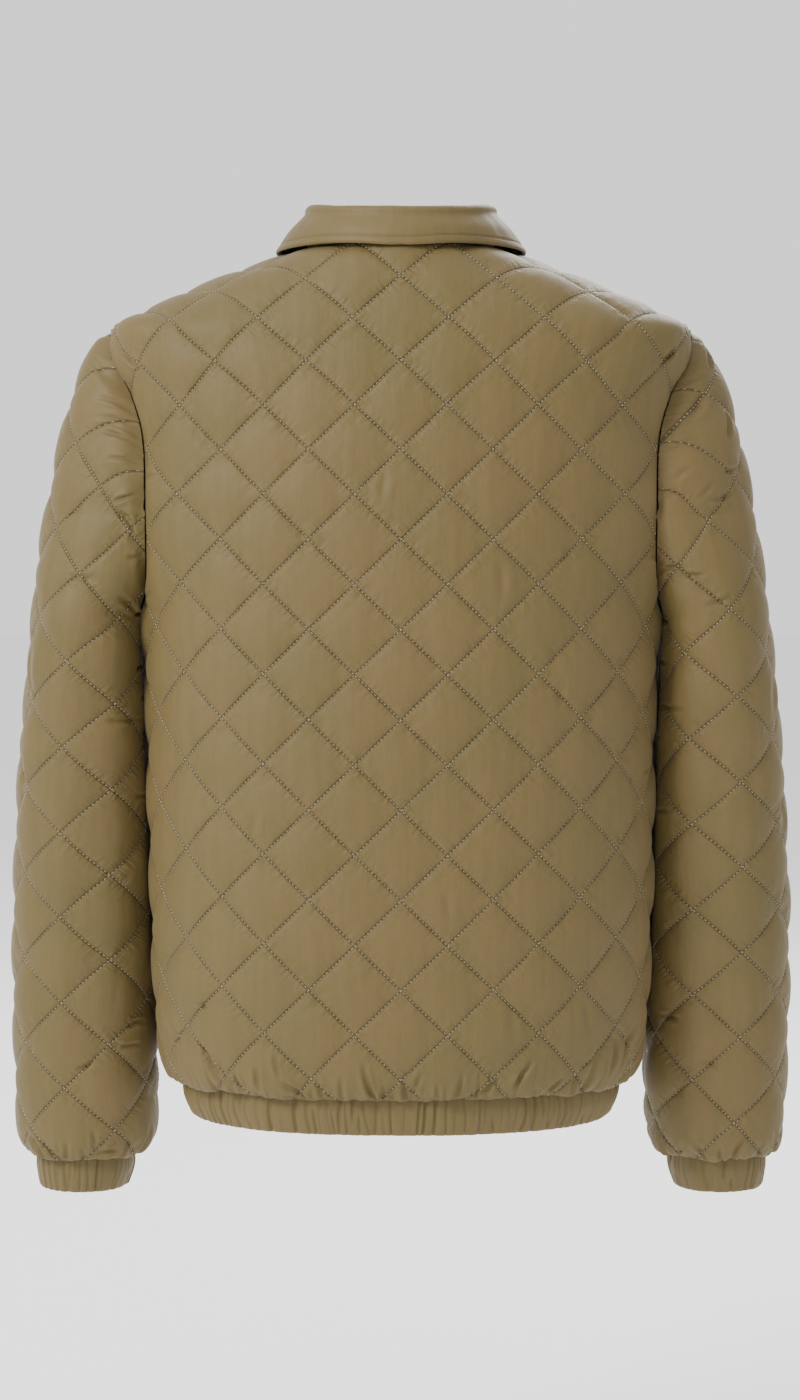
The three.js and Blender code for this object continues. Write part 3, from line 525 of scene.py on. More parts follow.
def body_form(depth: Curve, across_sign: int, out_sign: int) -> WornForm:
    """The worn form of the back or of the fronts.

    Args:
        depth: its depth over z.
        across_sign: the sign of X where u is more than 0.
        out_sign: the sign of Y on its side.

    Returns:
        The form, with its tables.
    """
    most = float(BODY_WIDTH(ARMHOLE_TOP) / BODY_WIDTH(BLADE_Z))
    form = WornForm(
        width=BODY_WIDTH,
        depth=depth,
        place=lambda across, out, z: placed(across_sign * across, SIDE_Y + out_sign * out, z),
        power=BODY_POWER,
        bottom=BODY_LEVELS[-1].z,
        top=BODY_LEVELS[0].z,
        grain=BLADE_Z,
        reach=math.pi / 2,
        gather_below=BODY_GATHER_Z,
        spread=lambda z: 1 + (most - 1) * smoothstep(z, BLADE_Z, ARMHOLE_TOP),
    )
    form.tabulate(290, 700)
    return form


def armhole_half(z: Array) -> Array:
    """Half the armhole's opening from front to back at z."""
    c = np.clip((z - ARMHOLE_MIDDLE) / ARMHOLE_REACH, -1, 1)
    return ARMHOLE_HALF * np.sqrt(1 - c * c) * (1 - ARMHOLE_EGG * c)


class SleeveShape:
    """The sleeve's sections, which open onto the armhole at their top."""

    outer = Curve(list(SLEEVE_OUTER), list(SLEEVE_OUTER.values()))
    inner = column(SLEEVE_LEVELS, "inner")
    depth_below = column(SLEEVE_LEVELS, "half_depth")
    mid_y = column(SLEEVE_LEVELS, "mid_y")

    def half_depth(self, z: Array) -> Array:
        """Half the section from front to back."""
        z = np.asarray(z, float)
        most = self.depth_below(SLEEVE_GRAIN_Z)
        return np.where(z > SLEEVE_GRAIN_Z, np.minimum(armhole_half(z), most), self.depth_below(z))

    def half_width(self, z: Array) -> Array:
        """Half the section's width, if it were whole."""
        z = np.asarray(z, float)
        whole = (self.outer(z) - self.inner(z)) / 2
        edge, half_depth = armhole_half(z), self.half_depth(z)
        share = np.minimum(edge / np.maximum(half_depth, 1e-6), 1)
        beyond = np.maximum(1 - share**SLEEVE_POWER, 0) ** (1 / SLEEVE_POWER)
        seat = 2.2 + SEAM_GAP + 2.7 * beyond
        lies = np.minimum(edge / BODY_BACK(z), 1) ** BODY_POWER
        on_body = BODY_WIDTH(z) * (1 - lies) ** (1 / BODY_POWER)
        at_armhole = np.maximum((self.outer(z) - on_body - seat) / (1 + beyond), 0.5)
        return np.where(z < ARMHOLE_BOTTOM, whole, at_armhole)

    def form(self, side: Side) -> WornForm:
        """The worn form of one sleeve, with its tables."""

        def place(across: Array, out: Array, z: Array) -> Array:
            """Puts a point of a section in its place."""
            x = self.outer(z) - self.half_width(z)
            return placed(side.value * (x + out), self.mid_y(z) + side.value * across, z)

        form = WornForm(
            width=self.half_depth,
            depth=self.half_width,
            place=place,
            power=SLEEVE_POWER,
            bottom=SLEEVE_LEVELS[-1].z,
            top=ARMHOLE_TOP - 0.4,
            grain=SLEEVE_GRAIN_Z,
            reach=math.pi,
            gather_below=-684,
        )
        form.tabulate(180, 680)
        return form


def close_at_ends(low: float, high: float, count: int) -> Array:
    """Values closest together at both ends of a range."""
    return low + (high - low) * (1 - np.cos(np.linspace(0, math.pi, count + 1))) / 2


def ease_armholes(points: Array) -> Array:
    """Lets the cloth out sideways where the armhole's seam turns from the back or the front.

    Args:
        points: points of the body or a sleeve in millimetres.

    Returns:
        The eased points.
    """
    x, y, z = points.T
    level = np.sin(math.pi * np.clip((-z - 122) / 168, 0, 1)) ** 2
    turned = smoothstep(np.abs(y - SIDE_Y), 26, 52)
    near = np.exp(-(((np.abs(x) - 188) / 32) ** 2))
    return placed(x + np.sign(x) * 7.5 * level * turned * near, y, z)


def body_outside(y: Array, z: Array, thick: float) -> Array:
    """How far the body's face, with a thickness, reaches sideways at y and z.

    Args:
        y: places from front to back.
        z: heights.
        thick: the thickness over the inner face.

    Returns:
        The largest distance from the middle that the body has there, or 0 beyond it.
    """
    depth = np.where(y > SIDE_Y, BODY_BACK(z), BODY_FRONT(z)) + thick
    share = np.minimum(np.abs(y - SIDE_Y) / depth, 1)
    return (BODY_WIDTH(z) + thick) * (1 - share**BODY_POWER) ** (1 / BODY_POWER)


class Outline:
    """A panel's flat outline, as a closed line of corners."""

    def __init__(self, corners: list[tuple[float, float]]) -> None:
        """Keeps the corners."""
        self.points = np.asarray(corners, float)
        self.next = np.roll(self.points, -1, axis=0)

    @property
    def size(self) -> tuple[float, float]:
        """The outline's width and height."""
        return tuple(self.points.max(axis=0) - self.points.min(axis=0))

    @property
    def area(self) -> float:
        """The area inside it."""
        (x0, y0), (x1, y1) = self.points.T, self.next.T
        return abs(float(np.sum(x0 * y1 - x1 * y0))) / 2

    def holds(self, points: Array) -> Array:
        """Which points lie inside it."""
        inside = np.zeros(len(points), bool)
        x, y = points.T
        for (x0, y0), (x1, y1) in zip(self.points, self.next):
            if y0 == y1:
                continue
            crosses = (y0 > y) != (y1 > y)
            inside ^= crosses & (x < x0 + (y - y0) * (x1 - x0) / (y1 - y0))
        return inside

    def nearest(self, points: Array) -> tuple[Array, Array]:
        """The nearest places on the outline.

        Args:
            points: flat points.

        Returns:
            The places, and how far they are.
        """
        best = np.full(len(points), np.inf)
        place = np.array(points, float)
        for start, end in zip(self.points, self.next):
            edge = end - start
            long = float(edge @ edge)
            if long < 1e-9:
                continue
            t = np.clip((points - start) @ edge / long, 0, 1)
            there = start + t[:, None] * edge
            gap = np.linalg.norm(points - there, axis=1)
            closer = gap < best
            best[closer] = gap[closer]
            place[closer] = there[closer]
        return place, best

    def turns(self, least: float) -> Array:
        """The corners where the outline turns by more than an angle in degrees."""
        before = self.points - np.roll(self.points, 1, axis=0)
        after = self.next - self.points
        angle = np.arctan2(after[:, 1], after[:, 0]) - np.arctan2(before[:, 1], before[:, 0])
        angle = np.abs((angle + math.pi) % (2 * math.pi) - math.pi)
        return self.points[np.degrees(angle) > least]


@dataclass(frozen=True)
class Crease:
    """A soft trough (or, with a depth below 0, a ridge) in a panel."""

    u: float
    v: float
    length: float
    angle: float
    depth: float
    width: float
    bow: float = 0.0

    def on(self, side: Side) -> Crease:
        """The same crease on the left, or another like it on the right."""
        if side is Side.LEFT:
            return self
        deeper = 1 + 0.25 * math.sin(3 * self.u)
        lower = self.v + 5 * math.sin(2 * self.u) * min(self.v / 60, 1)
        length, depth = self.length / deeper, self.depth * deeper
        return Crease(5 - self.u, lower, length, 172 - self.angle, depth, self.width, -self.bow)

    def local(self, u: Array, v: Array) -> tuple[Array, Array]:
        """How far flat points lie along and across it."""
        c, s = math.cos(math.radians(self.angle)), math.sin(math.radians(self.angle))
        return (u - self.u) * c + (v - self.v) * s, (v - self.v) * c - (u - self.u) * s

    def covers(self, u: Array, v: Array) -> Array:
        """Which flat points it reaches."""
        along, across = self.local(u, v)
        reach = 2.4 * self.width + abs(self.bow) + 2
        return (np.abs(along) < self.length / 2 + 1) & (np.abs(across) < reach)

    def fall(self, u: Array, v: Array) -> Array:
        """How far it lowers the cloth at flat points."""
        along, across = self.local(u, v)
        reached = 2 * along / self.length
        across = across - self.bow * (1 - np.clip(reached, -1, 1) ** 2)
        deeper, upright = CREASE_DEPTH, math.sin(math.radians(self.angle))
        if self.v - abs(upright) * self.length / 2 < HEM_ROOT:
            deeper = HEM_CREASE_DEPTH
            reached = np.maximum(math.copysign(0.5, upright) * reached + 0.5, 0)
        ends = np.clip(1 - reached**2, 0, 1) ** 1.3
        trough = np.exp(-((across / self.width) ** 2))
        lip = 0.45 * np.exp(-(((np.abs(across) - 2.1 * self.width) / self.width) ** 2))
        return deeper * self.depth * ends * (trough - lip)


def creases(*rows: tuple[float, ...]) -> tuple[Crease, ...]:
    """The creases of a table: u, v, length, angle, depth, width and sometimes bow."""
    return tuple(Crease(*row) for row in rows)


@dataclass(frozen=True)
class Quilting:
    """The diamond quilting: its stitch lines are the whole numbers of p and q."""

    diagonal: float = 68.0
    rise: float = 66.4
    cells: int = 16
    stitched: float = 2.5
    seam: float = 2.2
    puff: float = 3.7
    crown: float = 3.1

    @property
    def side(self) -> float:
        """The length of one side of a diamond."""
        return math.hypot(self.diagonal, self.rise) / 2

    def lines(self, u: Array, v: Array) -> tuple[Array, Array]:
        """The stitch coordinates of flat points, where v is from a crossing."""
        across, up = u / self.diagonal, v / self.rise
        return across + up, across - up

    def flat(self, p: Array, q: Array) -> tuple[Array, Array]:
        """The flat points of stitch coordinates."""
        return self.diagonal * (p + q) / 2, self.rise * (p - q) / 2

    def height(self, p: Array, q: Array, noise: Noise) -> Array:
        """The wadding's height over the stitching, uneven from diamond to diamond.

        Args:
            p: first stitch coordinates.
            q: second stitch coordinates.
            noise: the panel's noise.

        Returns:
            The heights.
        """
        i, j = np.floor(p), np.floor(q)
        a, b = p - i, q - j
        crown = (1 - np.abs(1 - 2 * a) ** self.crown) * (1 - np.abs(1 - 2 * b) ** self.crown)
        full = 1 + 0.13 * noise.cell(i, j)
        tilt = 0.16 * noise.cell(i + 40, j) * (a - 0.5) + 0.16 * noise.cell(i, j + 40) * (b - 0.5)
        return self.puff * crown * (full + tilt)

    def puckers(self, p: Array, q: Array, noise: Noise) -> Array:
        """The small pulls that run out from the stitching on both sides."""
        total = np.zeros_like(p)
        for across, along, lane in ((p, q, 3.0), (q, p, 11.0)):
            line = np.round(across)
            gap = np.abs(across - line) * self.side
            which = (across > line) * 57 + line * 13 + lane
            near = np.exp(-((gap / 8.0) ** 2)) * (1 - np.exp(-((gap / 1.3) ** 2)))
            skew = along * self.side / 5.4 + gap * 0.04 * noise(along * 2.3, which + 2)
            fine = along * self.side / 2.7
            strength = 0.3 + 0.9 * np.clip(noise(along * 1.6, which + 0.5), 0, 1)
            total += near * strength * (noise(skew, which) + 0.4 * noise(fine, which + 5))
        return 0.85 * total


QUILTING = Quilting()


class ClothMesh:
    """A closed cloth wall that is built flat, and laid on its form at the end."""

    def __init__(self, name: str) -> None:
        """Starts an empty flat mesh."""
        self.name = name
        self.bm = bmesh.new()

    def number(self, cells: int) -> None:
        """Numbers the points by their place in the grid, in units of the cells.

        Args:
            cells: the cells in one unit of the grid.
        """
        first = self.bm.verts.layers.int.new("first")
        second = self.bm.verts.layers.int.new("second")
        for vert in self.bm.verts:
            vert[first] = round(vert.co.x * cells)
            vert[second] = round(vert.co.y * cells)

    def coarsen_inside(self) -> None:
        """Takes every other line out of the plain inner face."""
        bm = self.bm
        layers = [bm.verts.layers.int[name] for name in ("first", "second")]
        doomed = []
        for edge in bm.edges:
            if any(vert.co.z > BETWEEN_LAYERS for face in edge.link_faces for vert in face.verts):
                continue
            a, b = edge.verts
            if any(a[layer] == b[layer] and a[layer] % 2 for layer in layers):
                doomed.append(edge)
        bmesh.ops.dissolve_edges(bm, edges=doomed, use_verts=True)

    def refine(self, wanted: Callable[[Array, Array], Array]) -> None:
        """Cuts the outer face's cells finer where small folds lie.

        Args:
            wanted: says for flat u and v where.
        """
        bm = self.bm
        flat = self.flat_points()
        fine = wanted(flat[:, 0], flat[:, 1]) & (flat[:, 2] > BETWEEN_LAYERS)
        bm.verts.index_update()
        edges = [
            edge
            for edge in bm.edges
            if all(fine[vert.index] for vert in edge.verts)
            and all(vert.co.z > BETWEEN_LAYERS for face in edge.link_faces for vert in face.verts)
        ]
        bmesh.ops.subdivide_edges(bm, edges=edges, cuts=2, use_grid_fill=True)

    def flat_points(self) -> Array:
        """The flat coordinates of all points."""
        return np.array([vert.co[:] for vert in self.bm.verts]).reshape(-1, 3)

    def keep_inside(self, outline: Outline) -> None:
        """Cuts the flat mesh to an outline and draws its border onto it.

        Args:
            outline: the panel's outline.
        """
        bm = self.bm
        points = self.flat_points()[:, :2]
        bm.faces.ensure_lookup_table()
        rings = np.array([[vert.index for vert in face.verts] for face in bm.faces])
        middles = points[rings].mean(axis=1)
        outside = ~outline.holds(middles)
        doomed = [bm.faces[i] for i in np.flatnonzero(outside)]
        bmesh.ops.delete(bm, geom=doomed, context="FACES")
        self.drop_pinches()
        border = [vert for vert in bm.verts if vert.is_boundary]
        flat = np.array([vert.co[:2] for vert in border])
        places, _ = outline.nearest(flat)
        for corner in outline.turns(28):
            places[np.argmin(np.linalg.norm(flat - corner, axis=1))] = corner
        for vert, (x, y) in zip(border, places):
            vert.co.xy = x, y
        ring = {edge.other_vert(vert) for vert in border for edge in vert.link_edges}
        inner = [vert for vert in ring if not vert.is_boundary]
        bmesh.ops.smooth_vert(bm, verts=inner, factor=0.4, use_axis_x=True, use_axis_y=True)

    def drop_pinches(self) -> None:
        """Removes faces that hang on by one corner, until the border is simple."""
        bm = self.bm
        for _ in range(12):
            pinched = [
                vert
                for vert in bm.verts
                if vert.is_boundary and sum(edge.is_boundary for edge in vert.link_edges) > 2
            ]
            lonely = [face for face in bm.faces if sum(e.is_boundary for e in face.edges) > 2]
            if not pinched and not lonely:
                return
            doomed = set(lonely)
            for vert in pinched:
                doomed.add(max(vert.link_faces, key=lambda f: sum(e.is_boundary for e in f.edges)))
            bmesh.ops.delete(bm, geom=list(doomed), context="FACES")

    def thicken(self) -> None:
        """Makes the flat mesh a closed slab between its inside and outside layers."""
        bm = self.bm
        rim = [edge for edge in bm.edges if edge.is_boundary]
        for edge in rim:
            edge.smooth = False
        made = bmesh.ops.extrude_face_region(bm, geom=list(bm.faces), use_keep_orig=True)
        outer = [item for item in made["geom"] if isinstance(item, bmesh.types.BMVert)]
        for vert in outer:
            vert.co.z = Layer.OUTSIDE.value
        bmesh.ops.recalc_face_normals(bm, faces=list(bm.faces))
        for edge in bm.edges:
            levels = {round(vert.co.z) for vert in edge.verts}
            walls = [f for f in edge.link_faces if len({round(v.co.z) for v in f.verts}) > 1]
            if len(levels) == 1 and walls:
                edge.smooth = False

    def lay(
        self,
        carry: Callable[[Array, Array, Array], Array],
        weave: Callable[[Array, Array], tuple[Array, Array]],
        material: bpy.types.Material,
    ) -> bpy.types.Object:
        """Lays the flat mesh in place and makes it an object that moves with the jacket.

        Args:
            carry: turns u, v and the layer into points in millimetres.
            weave: turns u and v into the cloth's own UV coordinates.
            material: the finish.

        Returns:
            The object.
        """
        flat = self.flat_points()
        mesh = bpy.data.meshes.new(self.name)
        self.bm.to_mesh(mesh)
        self.bm.free()
        points = carry(flat[:, 0], flat[:, 1], flat[:, 2]) * MM
        mesh.vertices.foreach_set("co", points.astype(np.float32).ravel())
        loops = np.zeros(len(mesh.loops), np.int32)
        mesh.loops.foreach_get("vertex_index", loops)
        coords = np.stack(weave(flat[:, 0], flat[:, 1]), axis=1)[loops]
        mesh.uv_layers.new(name="cloth").data.foreach_set("uv", coords.astype(np.float32).ravel())
        mesh.polygons.foreach_set("use_smooth", np.ones(len(mesh.polygons), bool))
        mesh.update()
        return finished(mesh, material)


def finished(
    mesh: bpy.types.Mesh, material: bpy.types.Material, body: str = CLOTH_BODY
) -> bpy.types.Object:
    """Args:
        mesh: a mesh whose points are in place.
        material: its finish.
        body: the body that it moves with.

    Returns:
        The object.
    """
    piece = bpy.data.objects.new(mesh.name, mesh)
    bpy.context.scene.collection.objects.link(piece)
    mesh.materials.clear()
    mesh.materials.append(material)
    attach(piece, body)
    LOG.info("%s: %d faces", piece.name, len(mesh.polygons))
    return piece


class Shader:
    """A material's node tree, with short ways to add and join nodes."""

    def __init__(self, name: str) -> None:
        """Starts a material with one Principled shader."""
        self.material = bpy.data.materials.new(name)
        self.material.use_nodes = True
        self.tree = self.material.node_tree
        self.shader = self.tree.nodes["Principled BSDF"]

    def add(self, kind: str, inputs: Optional[dict] = None, **settings: object) -> bpy.types.Node:
        """Adds a node.

        Args:
            kind: its type, without the ShaderNode before it.
            inputs: values or sockets for its inputs.
            settings: its own settings.

        Returns:
            The node.
        """
        node = self.tree.nodes.new("ShaderNode" + kind)
        for name, value in settings.items():
            setattr(node, name, value)
        for name, value in (inputs or {}).items():
            self.join(value, node.inputs[name])
        return node

    def join(self, value: object, socket: bpy.types.NodeSocket) -> None:
        """Sets an input's value, or links a socket to it."""
        if isinstance(value, bpy.types.NodeSocket):
            self.tree.links.new(value, socket)
        else:
            socket.default_value = value

    def math(self, operation: str, *values: object, clamp: bool = False) -> bpy.types.NodeSocket:
        """The result of a Math node."""
        inputs = dict(enumerate(values))
        return self.add("Math", inputs, operation=operation, use_clamp=clamp).outputs[0]

    def blend(self, share: object, first: object, second: object) -> bpy.types.NodeSocket:
        """A colour between two others."""
        node = self.add("Mix", data_type="RGBA")
        self.join(share, node.inputs["Factor"])
        for value, socket in ((first, node.inputs[6]), (second, node.inputs[7])):
            self.join(value, socket)
        return node.outputs[2]

    def noise(self, vector: object, scale: float, detail: float = 2.0) -> bpy.types.NodeSocket:
        """The value of a Noise Texture."""
        inputs = {"Vector": vector, "Scale": scale, "Detail": detail}
        return self.add("TexNoise", inputs).outputs["Fac"]

    def stretch(self, vector: object, scale: tuple, turn: float = 0.0) -> bpy.types.NodeSocket:
        """A vector scaled, and turned about Z by degrees."""
        inputs = {"Vector": vector, "Scale": scale, "Rotation": (0, 0, math.radians(turn))}
        return self.add("Mapping", inputs).outputs[0]

    def ramp(self, value: object, low: float, high: float) -> bpy.types.NodeSocket:
        """A soft step of a value from 0 to 1."""
        inputs = {"Value": value, "From Min": low, "From Max": high}
        return self.add("MapRange", inputs, interpolation_type="SMOOTHSTEP").outputs[0]

    def bump(self, height: object, strength: float, distance: float, under: object = None) -> object:
        """The normal of a Bump node, over another's."""
        inputs = {"Height": height, "Strength": strength, "Distance": distance}
        if under is not None:
            inputs["Normal"] = under
        return self.add("Bump", inputs).outputs[0]


Colour = tuple[float, float, float, float]


@dataclass(frozen=True)
class ClothFinish:
    """A fine, faintly lustrous plain weave in two close colours; quilted, it has painted shade darkening
    its stitch lines.
    """

    name: str
    olive: Colour = (0.0860, 0.0625, 0.0165, 1)
    tan: Colour = (0.1060, 0.0695, 0.0215, 1)
    roughness: float = 0.62
    sheen: float = 0.07
    unit: float = WEAVE_UNIT
    quilted: bool = False
    crinkle: float = 0.35

    def make(self) -> bpy.types.Material:
        """Builds the material.

        Returns:
            The material, which reads the piece's UV map in units of `unit` millimetres.
        """
        s = Shader(self.name)
        uv = s.add("UVMap", uv_map="cloth").outputs[0]
        place = s.add("TexCoord").outputs["Object"]
        u = self.unit
        broad = s.noise(place, 9.0, 3.0)
        streak = s.noise(s.stretch(uv, (u / 6.5, u / 60, 1)), 1.0, 3.0)
        slub = s.noise(s.stretch(uv, (u / 0.9, u / 14, 1)), 1.0, 2.0)
        pick = s.noise(s.stretch(uv, (u / 14, u / 0.9, 1)), 1.0, 2.0)
        share = s.math("ADD", s.math("MULTIPLY", broad, 0.9), s.math("MULTIPLY", streak, 0.75))
        colour = s.blend(s.ramp(share, 0.45, 1.2), self.olive, self.tan)
        grain = s.math("ADD", s.math("MULTIPLY", slub, 0.5), s.math("MULTIPLY", pick, 0.5))
        shade = s.math("MULTIPLY_ADD", grain, 0.30, 0.85)
        normal = s.bump(grain, 0.30, 0.00018)
        crinkle = s.noise(s.stretch(uv, (u / 7, u / 26, 1), 5), 1.0, 3.0)
        normal = s.bump(crinkle, self.crinkle, 0.0016, normal)
        if self.quilted:
            split = s.add("SeparateXYZ", {"Vector": uv})
            near, pulls = [], []
            lines = [s.math(way, split.outputs[0], split.outputs[1]) for way in ("ADD", "SUBTRACT")]
            for line, other in (lines, lines[::-1]):
                gap = s.math("MULTIPLY", s.math("PINGPONG", line, 0.5), QUILTING.side)
                near.append(gap)
                along = s.add("CombineXYZ", {0: other, 1: line}).outputs[0]
                pull = s.noise(s.stretch(along, (QUILTING.side / 3.4, 3.0, 1)), 1.0, 3.0)
                pulls.append(s.math("MULTIPLY", pull, s.ramp(gap, 11.0, 0.6)))
            normal = s.bump(s.math("ADD", *pulls), 0.8, 0.0024, normal)
            gap = s.math("MINIMUM", near[0], near[1])
            # Painted shade: within about a millimetre of each stitch line the colour darkens to about
            # half, standing in for shade in the groove; the same ramp also drives the groove's bump.
            groove = s.ramp(gap, 0.15, 1.3)
            shade = s.math("MULTIPLY", shade, s.math("MULTIPLY_ADD", groove, 0.52, 0.48))
            normal = s.bump(groove, 0.6, 0.0008, normal)
        tint = s.add("HueSaturation", {"Value": shade, "Color": colour}).outputs[0]
        s.join(tint, s.shader.inputs["Base Color"])
        s.join(normal, s.shader.inputs["Normal"])
        s.shader.inputs["Roughness"].default_value = self.roughness
        s.shader.inputs["Sheen Weight"].default_value = self.sheen
        s.shader.inputs["Sheen Roughness"].default_value = 0.42
        s.shader.inputs["Sheen Tint"].default_value = (0.9, 0.84, 0.68, 1)
        s.shader.inputs["Specular IOR Level"].default_value = 0.32
        return s.material


@dataclass(frozen=True)
class ThreadFinish:
    """Pale sewing thread with a soft lustre."""

    name: str = "sewing_thread"
    colour: Colour = (0.42, 0.335, 0.18, 1)

    def make(self) -> bpy.types.Material:
        """Builds the material."""
        s = Shader(self.name)
        place = s.add("TexCoord").outputs["Object"]
        twist = s.noise(place, 2600.0, 1.0)
        dark = tuple(0.72 * c for c in self.colour[:3]) + (1,)
        s.join(s.blend(twist, dark, self.colour), s.shader.inputs["Base Color"])
        s.shader.inputs["Roughness"].default_value = 0.5
        s.shader.inputs["Sheen Weight"].default_value = 0.2
        return s.material


@dataclass(frozen=True)
class MetalFinish:
    """Zip metal with an aged finish, brighter where it is rubbed."""

    name: str = "zip_metal"
    deep: Colour = (0.085, 0.068, 0.040, 1)
    worn: Colour = (0.30, 0.235, 0.13, 1)
    roughness: float = 0.34

    def make(self) -> bpy.types.Material:
        """Builds the material."""
        s = Shader(self.name)
        place = s.add("TexCoord").outputs["Object"]
        patina = s.noise(place, 420.0, 4.0)
        s.join(s.blend(s.ramp(patina, 0.38, 0.72), self.deep, self.worn), s.shader.inputs["Base Color"])
        brushed = s.noise(s.stretch(place, (1, 1, 0.06)), 3800.0, 2.0)
        s.join(s.math("MULTIPLY_ADD", brushed, 0.25, self.roughness - 0.1), s.shader.inputs["Roughness"])
        s.join(s.bump(brushed, 0.15, 0.00004), s.shader.inputs["Normal"])
        s.shader.inputs["Metallic"].default_value = 1.0
        return s.material


@dataclass(frozen=True)
class TapeFinish:
    """A zip tape's woven ribs."""

    name: str = "zip_tape"
    colour: Colour = (0.150, 0.118, 0.055, 1)

    def make(self) -> bpy.types.Material:
        """Builds the material, whose UV map is in millimetres."""
        s = Shader(self.name)
        uv = s.add("UVMap", uv_map="cloth").outputs[0]
        across = {"Vector": uv, "Scale": 0.36, "Distortion": 0.6, "Detail": 1.0}
        ribs = s.add("TexWave", across, bands_direction="Y").outputs["Fac"]
        ends = s.add("TexWave", {"Vector": uv, "Scale": 0.5}, bands_direction="X").outputs["Fac"]
        weave = s.math("MULTIPLY", ribs, ends)
        dark = tuple(0.6 * c for c in self.colour[:3]) + (1,)
        s.join(s.blend(weave, dark, self.colour), s.shader.inputs["Base Color"])
        s.join(s.bump(weave, 0.5, 0.0003), s.shader.inputs["Normal"])
        s.shader.inputs["Roughness"].default_value = 0.8
        s.shader.inputs["Sheen Weight"].default_value = 0.2
        return s.material


@dataclass
class Finishes:
    """All the jacket's materials, made once."""

    quilted: bpy.types.Material = field(
        default_factory=lambda: ClothFinish("quilted_cloth", quilted=True).make()
    )
    plain: bpy.types.Material = field(
        default_factory=lambda: ClothFinish("plain_cloth", crinkle=0.25).make()
    )
    band: bpy.types.Material = field(
        default_factory=lambda: ClothFinish("band_cloth", crinkle=0.5).make()
    )
    thread: bpy.types.Material = field(default_factory=lambda: ThreadFinish().make())
    tape: bpy.types.Material = field(default_factory=lambda: TapeFinish().make())
    metal: bpy.types.Material = field(default_factory=lambda: MetalFinish().make())


def shape_of(bm: bmesh.types.BMesh) -> tuple[Array, Array]:
    """The points and the triangles' corners of a small shape, which is used up."""
    points = np.array([vert.co[:] for vert in bm.verts])
    corners = np.array([[vert.index for vert in face.verts] for face in bm.faces])
    bm.free()
    return points, corners


def repeated(name: str, points: Array, corners: Array, smooth: bool) -> bpy.types.Mesh:
    """A mesh of many copies of a small shape.

    Args:
        name: the mesh's name.
        points: all the copies' points in millimetres, one copy after another.
        corners: the corner numbers of one copy's triangles.
        smooth: whether its faces are shaded smooth.

    Returns:
        The mesh.
    """
    starts = np.arange(0, len(points), corners.max() + 1)[:, None, None]
    mesh = bpy.data.meshes.new(name)
    mesh.from_pydata((points * MM).tolist(), [], (corners[None] + starts).reshape(-1, 3).tolist())
    mesh.polygons.foreach_set("use_smooth", np.full(len(mesh.polygons), smooth))
    mesh.update()
    return mesh


@dataclass(frozen=True)
class Stitching:
    """A row of thread stitches, each a small spindle half sunk in the cloth."""

    pitch: float = 3.25
    length: float = 2.0
    half_width: float = 0.27
    half_height: float = 0.30

    def spindle(self) -> tuple[Array, Array]:
        """One stitch along X, as points and the corners of its faces.

        Returns:
            The points, and one row of corner numbers for each triangle.
        """
        bm = bmesh.new()
        bmesh.ops.create_uvsphere(bm, u_segments=4, v_segments=3, radius=1.0)
        bmesh.ops.rotate(bm, verts=bm.verts, cent=(0, 0, 0), matrix=Matrix.Rotation(math.pi / 2, 3, "Y"))
        bmesh.ops.triangulate(bm, faces=bm.faces)
        scale = (self.length / 2, self.half_width, self.half_height)
        bmesh.ops.scale(bm, vec=scale, verts=bm.verts)
        return shape_of(bm)

    def sew(
        self,
        name: str,
        centres: Array,
        turns: Array,
        heights: Array,
        carry: Callable[[Array, Array, Array], Array],
        material: bpy.types.Material,
    ) -> bpy.types.Object:
        """Joins all stitches of a piece into one mesh.

        Args:
            name: the new piece's name.
            centres: the stitches' flat centres.
            turns: their flat directions as angles.
            heights: how far out of the face they lie.
            carry: turns u, v and n into points in millimetres.
            material: the thread.

        Returns:
            The object.
        """
        points, corners = self.spindle()
        c, s = np.cos(turns)[:, None], np.sin(turns)[:, None]
        x, y, z = points.T
        u = centres[:, 0, None] + c * x - s * y
        v = centres[:, 1, None] + s * x + c * y
        n = heights[:, None] + z
        carried = carry(u.ravel(), v.ravel(), n.ravel())
        return finished(repeated(name, carried, corners, True), material)


STITCHING = Stitching()


